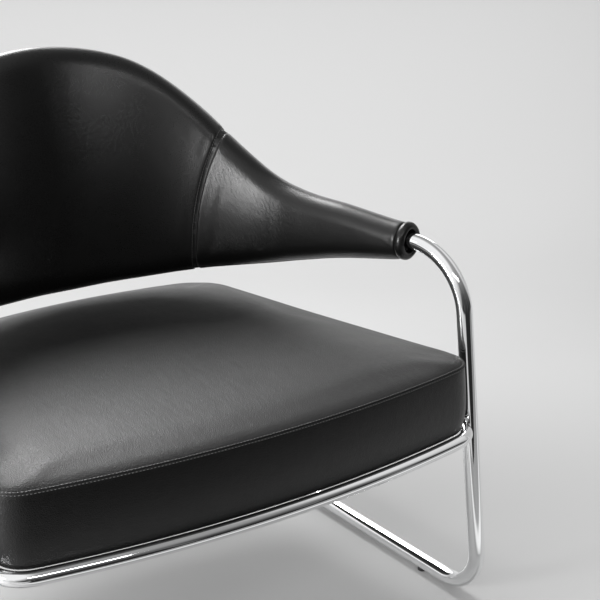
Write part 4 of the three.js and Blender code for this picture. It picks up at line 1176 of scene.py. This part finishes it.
class CHAIR_OT_tubes(bpy.types.Operator):
    """Build the smooth chromed side tubes, the rear bow and the seat ring"""

    bl_idname = "chair.tubes"
    bl_label = "Chromed tubes"

    def execute(self, context):
        lines = Lines(context.scene)
        tube, ring = lines.tube, lines.ring
        joint = lines.foot + lines.runner * tube.floor_joint
        arm_end = lines.knee + lines.arm * (tube.arm_insert + lines.bend_setback)
        side = bent_path([arm_end, lines.knee, lines.foot, joint - lines.runner * tube.joint_gap],
                         [tube.arm_bend, tube.foot_bend])
        for name, path in (("side_tube_right", side), ("side_tube_left", mirrored_path(side))):
            self.tube(name, path, tube.main_radius, tube.main_wall)
        start = joint + lines.runner * tube.joint_gap
        rear_y = tube.base_depth + lines.setback
        corner = joint + lines.runner * ((rear_y - joint[1]) / lines.runner[1])
        ends = [start, corner]
        bow = bent_path(ends + [mirrored_path(p) for p in ends[::-1]], [tube.base_corner] * 2)
        self.tube("floor_bow", bow, tube.main_radius, tube.main_wall)
        self.seat_ring(lines, tube, ring)
        return {"FINISHED"}

    def tube(self, node, path, radius, wall):
        place_piece(tube_mesh("chromed_" + node, path, radius, wall), "chrome", "chrome", node)

    def seat_ring(self, lines, tube, ring):
        parts = lines.half_outline(0, ring.rear_setback, ring.rear, ring.rear_corner)
        split = lines.ring_pass + lines.side_way * ring.joint
        front = np.vstack([parts[0][:-1], parts[1], [split - lines.side_way * tube.joint_gap]])
        rear = np.vstack([[split + lines.side_way * tube.joint_gap], parts[2][:-1], parts[3]])
        front = np.vstack([front[::-1] * [-1, 1], front[1:]])
        rear = np.vstack([rear, rear[:-1][::-1] * [-1, 1]])
        for name, flat in (("seat_ring_front", front), ("seat_ring_rear", rear)):
            self.tube(name, spaced(list(lines.seat_points(flat, 0))), tube.ring_radius, tube.ring_wall)


class CHAIR_OT_glides(bpy.types.Operator):
    """Build the round glides under the base"""

    bl_idname = "chair.glides"
    bl_label = "Glides"

    def execute(self, context):
        tube = context.scene.chair_tube
        chamfer = 0.0009
        rise = tube.glide_height + chamfer
        r = tube.glide_radius
        profile = [(0, 0), (r * 0.86, 0), (r, chamfer), (r, rise * 0.7), (r * 0.9, rise), (0, rise)]
        for corner in CORNERS:
            node = "glide_" + corner
            middle = box_middle(node)
            obj = placed("foot_" + node, turned("pad", profile), np.eye(3), (middle.x, middle.y, 0))
            place_piece(crease_edges(obj, 35), "plastic", "glide_plastic", node)
        return {"FINISHED"}


class CHAIR_OT_seat(bpy.types.Operator):
    """Build the leather seat cushion with its crown and its raised, double-stitched seam"""

    bl_idname = "chair.seat"
    bl_label = "Seat cushion"

    def execute(self, context):
        lines = Lines(context.scene)
        seat, seam = lines.seat, context.scene.chair_seam
        obj = self.cushion(lines, seat)
        place_piece(obj, "seat_leather", "leather", "seat_top_cover", "seat_border_cover", "seat_foam")
        surface = surface_tree(obj)
        base = lines.tube.ring_radius + seat.under_gap + seat.border
        flat = lines.seat_outline(0)
        path = lines.seat_points(flat, base)
        tangent = tangents_of(np.c_[flat, np.zeros(len(flat))], True)
        outward = np.stack([tangent[:, 1], -tangent[:, 0]], -1)
        normals = lines.seat_points(flat + outward, base + SEAM_UP) - path
        normals /= np.linalg.norm(normals, axis=1)[:, None]
        strip, rows = seam_strip("seat_seam", path, normals, surface, seam, True)
        place_piece(strip, "seat_leather", "leather")
        stitched("seat_stitches", rows, seam)
        self.dust_sheet(lines, seat)
        return {"FINISHED"}

    def dust_sheet(self, lines, seat):
        """The black cloth under the seat, tight at its edge and its screws and a little slack between."""
        count = DUST_CELLS + 1
        sides, _ = self.four_sides(lines, DUST_CELLS, seat.dust_inset)
        patch = coons_patch(sides)
        ring = np.vstack([side[:-1] for side in sides])
        middle = np.array([0, seat.rear_setback / 2])
        inward = inward_shares(patch, ring, middle)
        bearing = np.arctan2(*(patch - middle).T).T
        slack = seat.dust_slack * smooth_step(inward, 0.02, 0.6)
        gone = set()
        for corner in CORNERS:
            screw = lines.seat_place(box_middle("seat_screw_" + corner))
            far = np.linalg.norm(patch - screw, axis=-1)
            slack *= 1 - np.exp(-(far / DUST_SCREW_REACH) ** 2)
            row, column = np.unravel_index(np.argmin(far), far.shape)
            gone.add(int(row * count + column))
            for i, j in itertools.product((-1, 0, 1), (-1, 0, 1)):
                if i or j:
                    way = patch[row + i, column + j] - patch[row, column]
                    patch[row + i, column + j] = screw + way / np.linalg.norm(way) * DUST_HOLE_RADIUS
        pucker = PUCKER_HEIGHT * np.sin(PUCKER_COUNT * bearing) * np.exp(-inward / PUCKER_DEPTH)
        pucker *= smooth_step(inward, 0, 0.03)
        bottom = lines.tube.ring_radius + seat.under_gap - DUST_CLEARANCE - seat.dust_cloth
        points = lines.seat_points(patch, bottom - slack - np.abs(pucker))
        faces = [f[::-1] for f in grid_faces(count, count, False) if not gone & set(f)]
        obj = new_object("seat_dust_sheet", points.reshape(-1, 3), faces)
        cleaned = bmesh.new()
        cleaned.from_mesh(obj.data)
        bmesh.ops.delete(cleaned, geom=[v for v in cleaned.verts if not v.link_faces], context="VERTS")
        area = sum(f.calc_area() for f in cleaned.faces)
        cleaned.to_mesh(obj.data)
        cleaned.free()
        modifier = obj.modifiers.new("cloth", "SOLIDIFY")
        modifier.thickness = seat.dust_cloth
        modifier.offset = -1
        place_piece(applied(obj, modifier), "cloth", "dust_cloth", "seat_dust_cover")

    def cushion(self, lines, seat):
        cells = seat.cells
        bottom = lines.tube.ring_radius + seat.under_gap
        seam = bottom + seat.border
        sides, shares = self.four_sides(lines, cells)
        patch = coons_patch(sides)
        ring = np.vstack([side[:-1] for side in sides])
        middle = np.array([0, seat.rear_setback / 2])
        inward = inward_shares(patch, ring, middle)
        away = patch - middle
        rearward = np.clip(away[..., 1] / np.maximum(np.linalg.norm(away, axis=-1), 1e-6), 0, 1)
        full = np.clip(inward * (1 + seat.rear_fullness * rearward), 0, 1)
        top = lines.seat_points(patch, seam + seat.crown * crown_rise(full))
        hanging = seat.lip * np.clip(1 - inward / LIP_REACH, 0, 1)
        hem_share = 1 - seat.hem / np.linalg.norm(ring - middle, axis=1).mean()
        low = lines.seat_points(middle + away * hem_share, bottom - hanging)
        swell = seat.swell * np.sin(np.pi * BORDER_LEVELS ** 0.8) ** 0.8
        hem = seat.hem * np.clip(1 - BORDER_LEVELS / HEM_LEVEL, 0, 1) ** 1.6
        loops = []
        for level, out, hemmed in zip(BORDER_LEVELS, swell, hem):
            loop = closed_loop(lines.seat_outline(hemmed - out))
            run = run_along(loop)
            flat = sampled(loop, run, shares * run[-1])
            hanging = seat.lip * max(0, 1 - level / LIP_LEVEL) ** 2
            loops.append(lines.seat_points(flat, bottom + seat.border * level - hanging))
        return self.joined(top, low, loops, cells, seat)

    def four_sides(self, lines, cells, inset=0):
        """The outline's front, right, rear and left edge, cut in its corners, and shares of the run."""
        outline = lines.seat_outline(inset)
        loop = closed_loop(outline)
        run = run_along(loop)
        right = outline[:len(outline) // 2 + 1]
        front_corner, rear_corner = (run[np.argmax(right @ way)] for way in ([1, -1.0], [1, 1.2]))
        total = run[-1]
        marks = [-front_corner, front_corner, rear_corner, total - rear_corner, total - front_corner]
        places = [np.linspace(first, last, cells + 1) % total for first, last in zip(marks, marks[1:])]
        return [sampled(loop, run, p) for p in places], np.concatenate([p[:-1] for p in places]) / total

    def joined(self, top, low, loops, cells, seat):
        count = cells + 1
        points = [top.reshape(-1, 3), low.reshape(-1, 3)]
        start = 2 * count * count
        faces = grid_faces(count, count, False)
        faces += [f[::-1] for f in grid_faces(count, count, False, count * count)]
        edge = edge_numbers(count)
        around = len(edge)
        rows = [edge + count * count]
        for loop in loops:
            points.append(loop)
            rows.append(np.arange(start, start + around))
            start += around
        rows.append(edge)
        for a, b in zip(rows, rows[1:]):
            faces += np.stack([a, np.roll(a, -1), np.roll(b, -1), b], -1).tolist()
        obj = new_solid("seat_cushion", np.vstack(points), faces)
        pinned = np.zeros(len(obj.data.vertices))
        pinned[count * count:2 * count * count] = 1
        pinned[rows[1]] = 1
        pinned[edge] = 1
        filled(obj, pinned, seat.puff)
        return subdivided(obj)


def edge_numbers(count):
    """Grid numbers round the edge of a square patch: front, right, rear, left."""
    front = np.arange(count - 1)
    right = np.arange(count - 1) * count + count - 1
    rear = (count - 1) * count + np.arange(count - 1, 0, -1)
    left = np.arange(count - 1, 0, -1) * count
    return np.concatenate([front, right, rear, left])


def coons_patch(sides):
    """Flat points that fill four edges which run round in order."""
    front, right, rear, left = sides[0], sides[1], sides[2][::-1], sides[3][::-1]
    count = len(front)
    u = np.linspace(0, 1, count)[None, :, None]
    v = np.linspace(0, 1, count)[:, None, None]
    rows = front[None] * (1 - v) + rear[None] * v
    columns = left[:, None] * (1 - u) + right[:, None] * u
    corners = (1 - u) * (1 - v) * front[0] + u * (1 - v) * front[-1]
    corners = corners + (1 - u) * v * rear[0] + u * v * rear[-1]
    return rows + columns - corners


def inward_shares(patch, ring, middle):
    """How far each flat point lies from the outline towards the middle, as a share."""
    edge = ring - middle
    angles = np.arctan2(edge[:, 1], edge[:, 0])
    order = np.argsort(angles)
    reach = np.linalg.norm(edge, axis=1)[order]
    away = patch - middle
    outer = np.interp(np.arctan2(away[..., 1], away[..., 0]), angles[order], reach, period=2 * math.pi)
    return np.clip(1 - np.linalg.norm(away, axis=-1) / outer, 0, 1)


def crown_rise(inward):
    """The crown's rise at shares of the way in, smoothed over the table's steps."""
    places = np.linspace(0, 1, 401) ** 2
    root = np.interp(np.sqrt(places), np.sqrt(CROWN_INWARD_SHARES), CROWN_RISE_SHARES)
    kernel = np.hanning(31)
    kernel /= kernel.sum()
    padded = np.pad(root, len(kernel) // 2, mode="reflect", reflect_type="odd")
    return np.interp(inward, places, np.convolve(padded, kernel, mode="valid"))


class CHAIR_OT_back(bpy.types.Operator):
    """Build the leather back, the arm sleeves, their collars and the stitched panel seams"""

    bl_idname = "chair.back"
    bl_label = "Back and arms"

    def execute(self, context):
        lines = Lines(context.scene)
        back, seam = lines.back, context.scene.chair_seam
        shares, _ = loop_shares(back.columns)
        edge = lines.seam_distance(shares)
        total = 2 * lines.half
        end = np.full(back.columns, back.collar)
        arm = end + (edge - end) * arm_places()[:, None]
        centre = edge + (total - 2 * edge) * np.linspace(0, 1, CENTRE_ROWS)[:, None]
        crease = crease_inset(arm - back.collar) + back.pull * np.exp((arm - edge) / PULL_REACH)
        middle = np.minimum(centre - edge, total - edge - centre)
        centre_pad = self.pad("back_pad", lines, centre, back.pull * np.exp(-middle / PULL_REACH), back)
        right = self.pad("arm_pad_right", lines, arm, crease, back)
        left = self.pad("arm_pad_left", lines, (total - arm)[::-1], crease[::-1], back)
        place_piece(centre_pad, "back_leather", "leather", "back_cover_front", "back_cover_rear",
                    "back_foam_front", "back_foam_rear")
        place_piece(right, "side_leather", "leather", "side_cover_right", "arm_foam_right")
        place_piece(left, "side_leather", "leather", "side_cover_left", "arm_foam_left")
        self.seams(lines, seam, surface_tree(centre_pad, right, left))
        for node, mirror in (("sleeve_collar_right", False), ("sleeve_collar_left", True)):
            place_piece(self.collar("rolled_" + node, lines, mirror), "back_leather", "leather", node)
        return {"FINISHED"}

    def pad(self, name, lines, distance, inset, back):
        points, _ = lines.loop_points(distance, inset)
        rows, columns = distance.shape
        ends = [points[0].mean(0), points[-1].mean(0)]
        faces = grid_faces(rows, columns, True) + end_fans(rows, columns)
        obj = new_solid(name, np.vstack([points.reshape(-1, 3), ends]), faces)
        pinned = np.zeros(rows * columns + 2)
        fade = np.array([1, 0.75, 0.35])
        weight = np.zeros((rows, columns))
        weight[:3] = fade[:, None]
        weight[-3:] = np.maximum(weight[-3:], fade[::-1, None])
        weight[:, 0] = 1
        weight[:, [1, -1]] = np.maximum(weight[:, [1, -1]], 0.5)
        pinned[:-2] = weight.ravel()
        pinned[-2:] = 1
        filled(obj, pinned, back.puff)
        self.unwrap(obj, np.minimum(distance, 2 * lines.half - distance), points)
        return subdivided(obj)

    def unwrap(self, obj, distance, points):
        """A map with the distance along the back and the way round the section, in metres."""
        rows, columns = distance.shape
        steps = np.linalg.norm(np.roll(points, -1, 1) - points, axis=-1)
        round_run = np.cumsum(steps, axis=1) - steps
        u = np.append(distance.ravel(), [distance[0, 0], distance[-1, 0]])
        v = np.append(round_run.ravel(), [0, 0])
        numbers = corner_points(obj)
        uv = np.stack([u[numbers], v[numbers]], -1)
        for polygon in obj.data.polygons:
            chosen = list(polygon.loop_indices)
            values = uv[chosen, 1]
            if values.max() - values.min() > MAP_JUMP and len(chosen) == 4:
                row = min(numbers[chosen[0]] // columns, rows - 1)
                around = round_run[row][-1] + steps[row][-1]
                uv[chosen, 1] = np.where(values < around / 2, values + around, values)
        set_flow(obj, uv)

    def seams(self, lines, seam, surface):
        height = np.linspace(0, 1, PANEL_SEAM_POINTS)
        rows = []
        for side in ("right", "left"):
            loops = []
            for face, shares in ((-1, height), (1, height[::-1][1:-1])):
                distance = lines.seam_distance(shares)
                if side == "left":
                    distance = 2 * lines.half - distance
                loops.append(lines.face_points(distance, shares, np.full(len(shares), float(face))))
            path = np.vstack(loops)
            strip, stitch_rows = seam_strip(f"back_seam_{side}", path, seam_normals(path, surface, True),
                                            surface, seam, True, width=1.2, rise=0.25)
            place_piece(strip, "seat_leather", "leather")
            rows += stitch_rows
        stitched("back_stitches", rows, seam)
        start = lines.back.collar + LOWER_SEAM_START
        distance = np.linspace(start, 2 * lines.half - start, LOWER_SEAM_POINTS)
        low = np.full(len(distance), LOWER_SEAM_HEIGHT)
        path = lines.face_points(distance, low, np.full(len(low), -1.0))
        strip, _ = seam_strip("lower_seam", path, seam_normals(path, surface, False), surface, seam, False,
                              width=0.5, rise=0.5)
        place_piece(strip, "seat_leather", "leather")

    def collar(self, name, lines, mirror):
        """The rolled collar: its outside, its lip, the recess behind the lip and the end on the tube."""
        back = lines.back
        distance = np.repeat(COLLAR_SECTION[:, :1] * (back.collar / COLLAR_LENGTH), back.columns, 1)
        inset = np.repeat(COLLAR_SECTION[:, 1:], back.columns, 1)
        if mirror:
            distance = 2 * lines.half - distance
        points, _ = lines.loop_points(distance, inset)
        columns = back.columns
        turn = 2 * math.pi * np.arange(columns) / columns
        tails = []
        for depth in COLLAR_TAIL:
            place = back.collar * depth
            place = 2 * lines.half - place if mirror else place
            point, up, rear, *_ = lines.section(np.array([place]))
            reach = lines.tube.main_radius + TOUCH_GAP
            tails.append(point + reach * (-np.sin(turn)[:, None] * rear - np.cos(turn)[:, None] * up))
        points = np.concatenate([points, np.array(tails)])
        faces = grid_faces(len(points), columns, True, closed=True)
        obj = new_solid(name, points.reshape(-1, 3), faces)
        numbers = corner_points(obj)
        set_flow(obj, np.stack([numbers // columns, numbers % columns], -1) * COLLAR_PATTERN)
        return subdivided(obj)


def corner_points(obj):
    """The point that each corner of each face lies on."""
    numbers = np.zeros(len(obj.data.loops), np.int32)
    obj.data.loops.foreach_get("vertex_index", numbers)
    return numbers


def set_flow(obj, uv):
    """Gives a piece its map of leather, in metres."""
    obj.data.uv_layers.new(name="flow").data.foreach_set("uv", uv.ravel())


def arm_places(straight=0.02, growth=1.25):
    """Places of the rows along a sleeve, from 0 to 1, with steps that grow."""
    t = np.linspace(0, 1, ARM_ROWS)
    return straight * t + (1 - straight) * t ** growth


def crease_inset(run):
    """How far the leather is drawn in where the sleeve meets its collar."""
    return CREASE_DEPTH * np.clip(1 - run / CREASE_LENGTH, 0, 1) ** 2


def smoothed(values, times, closed):
    for _ in range(times):
        if closed:
            values = (np.roll(values, 1, 0) + values * 2 + np.roll(values, -1, 0)) / 4
        else:
            middle = (values[:-2] + values[1:-1] * 2 + values[2:]) / 4
            values = np.vstack([values[:1], middle, values[-1:]])
    return values / np.linalg.norm(values, axis=1)[:, None]


class CHAIR_OT_seat_fixings(bpy.types.Operator):
    """Build the seat's rubber buffers and screws under the cushion"""

    bl_idname = "chair.seat_fixings"
    bl_label = "Seat fixings"

    def execute(self, context):
        lines = Lines(context.scene)
        self.tilt = -lines.ring.drop
        turn = np.array([[1, 0, 0], [0, math.cos(self.tilt), -math.sin(self.tilt)],
                         [0, math.sin(self.tilt), math.cos(self.tilt)]])
        screws = []
        for corner in CORNERS:
            low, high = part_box("seat_screw_" + corner)
            head = np.array((low + high) / 2) - turn @ np.array([0, 0, np.array(high - low)[2] / 2])
            screws.append(head + turn @ np.array([0, 0, SCREW_HEAD_HEIGHT]))
            self.buffer("seat_buffer_" + corner, turn)
        self.screws(screws)
        return {"FINISHED"}

    def screws(self, places):
        one = button_screw("one_seat_screw")
        values = {"Fastener": one, "Turn": (self.tilt, 0.0, 0.0), "Material": finish_of("steel")}
        obj = grown("seat_screws", new_object("screw_places", places), copies_tree(), values)
        bpy.data.objects.remove(one)
        nodes = ["seat_screw_" + corner for corner in CORNERS]
        place_piece(crease_edges(obj, 35), None, "bare_steel", *nodes)

    def buffer(self, node, turn):
        obj = placed("rubber_" + node, turned("one_buffer", BUFFER_SECTION), turn, box_middle(node))
        place_piece(crease_edges(obj, 50), "rubber", "buffer_rubber", node)


class CHAIR_OT_inner_finishes(bpy.types.Operator):
    """Give the pieces inside and under the cushions their finishes"""

    bl_idname = "chair.inner_finishes"
    bl_label = "Inner finishes"

    def execute(self, context):
        by_slot = {"bare_steel": "steel", "foam": "foam", "plywood": "plywood", "dust_cloth": "cloth",
                   "buffer_rubber": "rubber", "glide_plastic": "plastic", "chrome": "chrome",
                   "leather": "seat_leather"}
        for part in frame["record"]["subparts"]:
            node = frame["nodes"][part["node"]]
            dress(node, by_slot[part["material_slot"]])
        return {"FINISHED"}


def aim(obj, place, way):
    """Puts a camera or a light at a place, turned along a way."""
    obj.location = place
    obj.rotation_mode = "QUATERNION"
    obj.rotation_quaternion = way.to_track_quat("-Z", "Y")


class CHAIR_OT_stage(bpy.types.Operator):
    """Set the camera, the studio floor and the lights"""

    bl_idname = "chair.stage"
    bl_label = "Stage"

    def execute(self, context):
        stage = context.scene.chair_stage
        self.camera(context.scene, stage)
        self.backdrop(context.scene.chair_colours, stage)
        self.lights(stage)
        self.world(stage)
        context.scene.view_settings.view_transform = "Standard"
        return {"FINISHED"}

    def camera(self, scene, stage):
        data = bpy.data.cameras.new("camera")
        camera = linked("camera", data)
        data.lens = stage.lens
        data.sensor_width = 36
        data.clip_end = 50
        way = Vector((-math.sin(stage.azimuth) * math.cos(stage.pitch),
                      math.cos(stage.azimuth) * math.cos(stage.pitch), -math.sin(stage.pitch)))
        aim(camera, stage.eye, way)
        scene.camera = camera

    def backdrop(self, colours, stage):
        """A floor that curves up into a softly lit wall behind the chair, with painted light on the wall and
        floor and painted shade on the floor in front.
        """
        start = WALL_DISTANCE - WALL_BEND
        profile = [(FLOOR_FRONT, 0.0)]
        profile += [(start + WALL_BEND * math.sin(a), WALL_BEND - WALL_BEND * math.cos(a))
                    for a in np.linspace(0, math.pi / 2, 25)]
        profile.append((WALL_DISTANCE, WALL_TOP))
        rows = np.array([[(-STUDIO_SIDE, y, z), (STUDIO_SIDE, y, z)] for y, z in profile])
        sine, cosine = math.sin(stage.azimuth), math.cos(stage.azimuth)
        x, y = rows[..., 0].copy(), rows[..., 1].copy()
        rows[..., 0] = x * cosine - y * sine
        rows[..., 1] = x * sine + y * cosine
        obj = new_object("studio_floor", rows.reshape(-1, 3), grid_faces(len(rows), 2, False))
        f = Finish("studio_floor")
        place = f.object_place()
        grain = f.noise(place, 300, 2)
        tone = f.mix(grain, *(tuple(min(1, c * part) for c in colours.floor) for part in (0.98, 1.02)))
        away, across = f.along(place, (-sine, cosine, 0)), f.along(place, (cosine, sine, 0))
        front = f.axis(place, "Y")
        # Painted light: a strip of floor in front, which the camera does not see, glows as a painted
        # reflector
        near = front.between(-0.95, -0.8) * (1 - front.between(-0.74, -0.6))
        # Painted light: the floor glows brighter towards the wall behind the chair, and the wall glows too
        behind = away.between(0.2, 0.9) * 0.75 + away.between(1.3, 1.9) * 0.25
        unseen = 1 - f.light_path()
        glow = stage.glow + behind * stage.wall + near * unseen * stage.near
        # Painted light: the floor to the right glows a little brighter
        glow = glow + across.between(0.3, 0.9) * 0.12 * (1 - behind)
        # Painted shade: the floor in front of the strip is darker in reflections and in the light it throws
        # back, though not to the camera
        painted_front_shade = (1 - front.between(-0.8, -0.4)) * unseen * 0.55
        open_behind = 1 - f.add("ShaderNodeNewGeometry", output="Backfacing")
        obj.data.materials.append(f.finish(Base_Color=f.mix(painted_front_shade, tone, (0, 0, 0)), Roughness=0.8,
                                           Emission_Strength=1.0, Emission_Color=f.grey(glow),
                                           Alpha=open_behind))

    def lights(self, stage):
        for key, (place, target, size, spread) in LIGHTS.items():
            data = bpy.data.lights.new(key + "_light", "AREA")
            data.shape = "RECTANGLE"
            data.size, data.size_y = size
            data.energy = getattr(stage, key)
            data.spread = math.radians(spread)
            aim(linked(key + "_light", data), place, Vector(target) - Vector(place))

    def world(self, stage):
        """A dark room with pale stripes, a band and two soft patches, for chrome and leather to reflect."""
        world = bpy.data.worlds.new("studio")
        bpy.context.scene.world = world
        world.use_nodes = True
        f = Maker(world.node_tree)
        way = f.add("ShaderNodeTexCoord", output="Generated")
        height = f.axis(way, "Z")
        flat = f.add("ShaderNodeMapping", {}, {"Vector": way, "Scale": (5, 5, 1.2)})
        stripes = f.noise(flat, 1.0, 2).between(0.5, 0.62) * (1 - height.between(0.3, 0.6))
        sides = ((-0.85, -0.53, 0), (0.866, 0, 0.5), (-0.8, 0.1, 0.59))
        left, right, above = (f.along(way, side) for side in sides)
        band = height.between(-0.32, -0.24) * (1 - height.between(-0.1, -0.03)) * left.between(0.78, 0.88)
        light = 0.02 + height.between(-0.1, 0.9) * 0.12 + stripes * height.between(-0.12, 0.05) * 0.1
        light = light + band * 0.65 + right.between(0.76, 0.92) * 0.5
        light = light + above.between(0.45, 0.95) * stage.ceiling + height.between(0.2, 0.9) * 0.2
        light = f.mix(f.light_path(), f.grey(light), SEEN_WORLD)
        background = f.add("ShaderNodeBackground", {}, {"Color": light})
        f.add("ShaderNodeOutputWorld", {}, {"Surface": background})


class CHAIR_PT_panel(bpy.types.Panel):
    """Steps and sizes of the chair"""

    bl_idname = "CHAIR_PT_panel"
    bl_label = "Cantilever lounge chair"
    bl_space_type = "VIEW_3D"
    bl_region_type = "UI"
    bl_category = "Chair"

    def draw(self, context):
        for step in STEPS:
            self.layout.operator(step.bl_idname)
        for name, group in GROUPS.items():
            box = self.layout.box()
            box.label(text=group.__doc__)
            for key in group.__annotations__:
                box.prop(getattr(context.scene, name), key)


STEPS = (CHAIR_OT_stage, CHAIR_OT_inner_finishes, CHAIR_OT_tubes, CHAIR_OT_glides, CHAIR_OT_seat_fixings,
         CHAIR_OT_seat, CHAIR_OT_back)


def register():
    for group in GROUPS.values():
        bpy.utils.register_class(group)
    for name, group in GROUPS.items():
        setattr(bpy.types.Scene, name, PointerProperty(type=group))
    for step in STEPS:
        bpy.utils.register_class(step)
    bpy.utils.register_class(CHAIR_PT_panel)


def unregister():
    bpy.utils.unregister_class(CHAIR_PT_panel)
    for step in reversed(STEPS):
        bpy.utils.unregister_class(step)
    for name in GROUPS:
        delattr(bpy.types.Scene, name)
    for group in reversed(list(GROUPS.values())):
        bpy.utils.unregister_class(group)


def main():
    register()
    for step in STEPS:
        category, name = step.bl_idname.split(".")
        getattr(getattr(bpy.ops, category), name)()


if __name__ == "__main__":
    main()
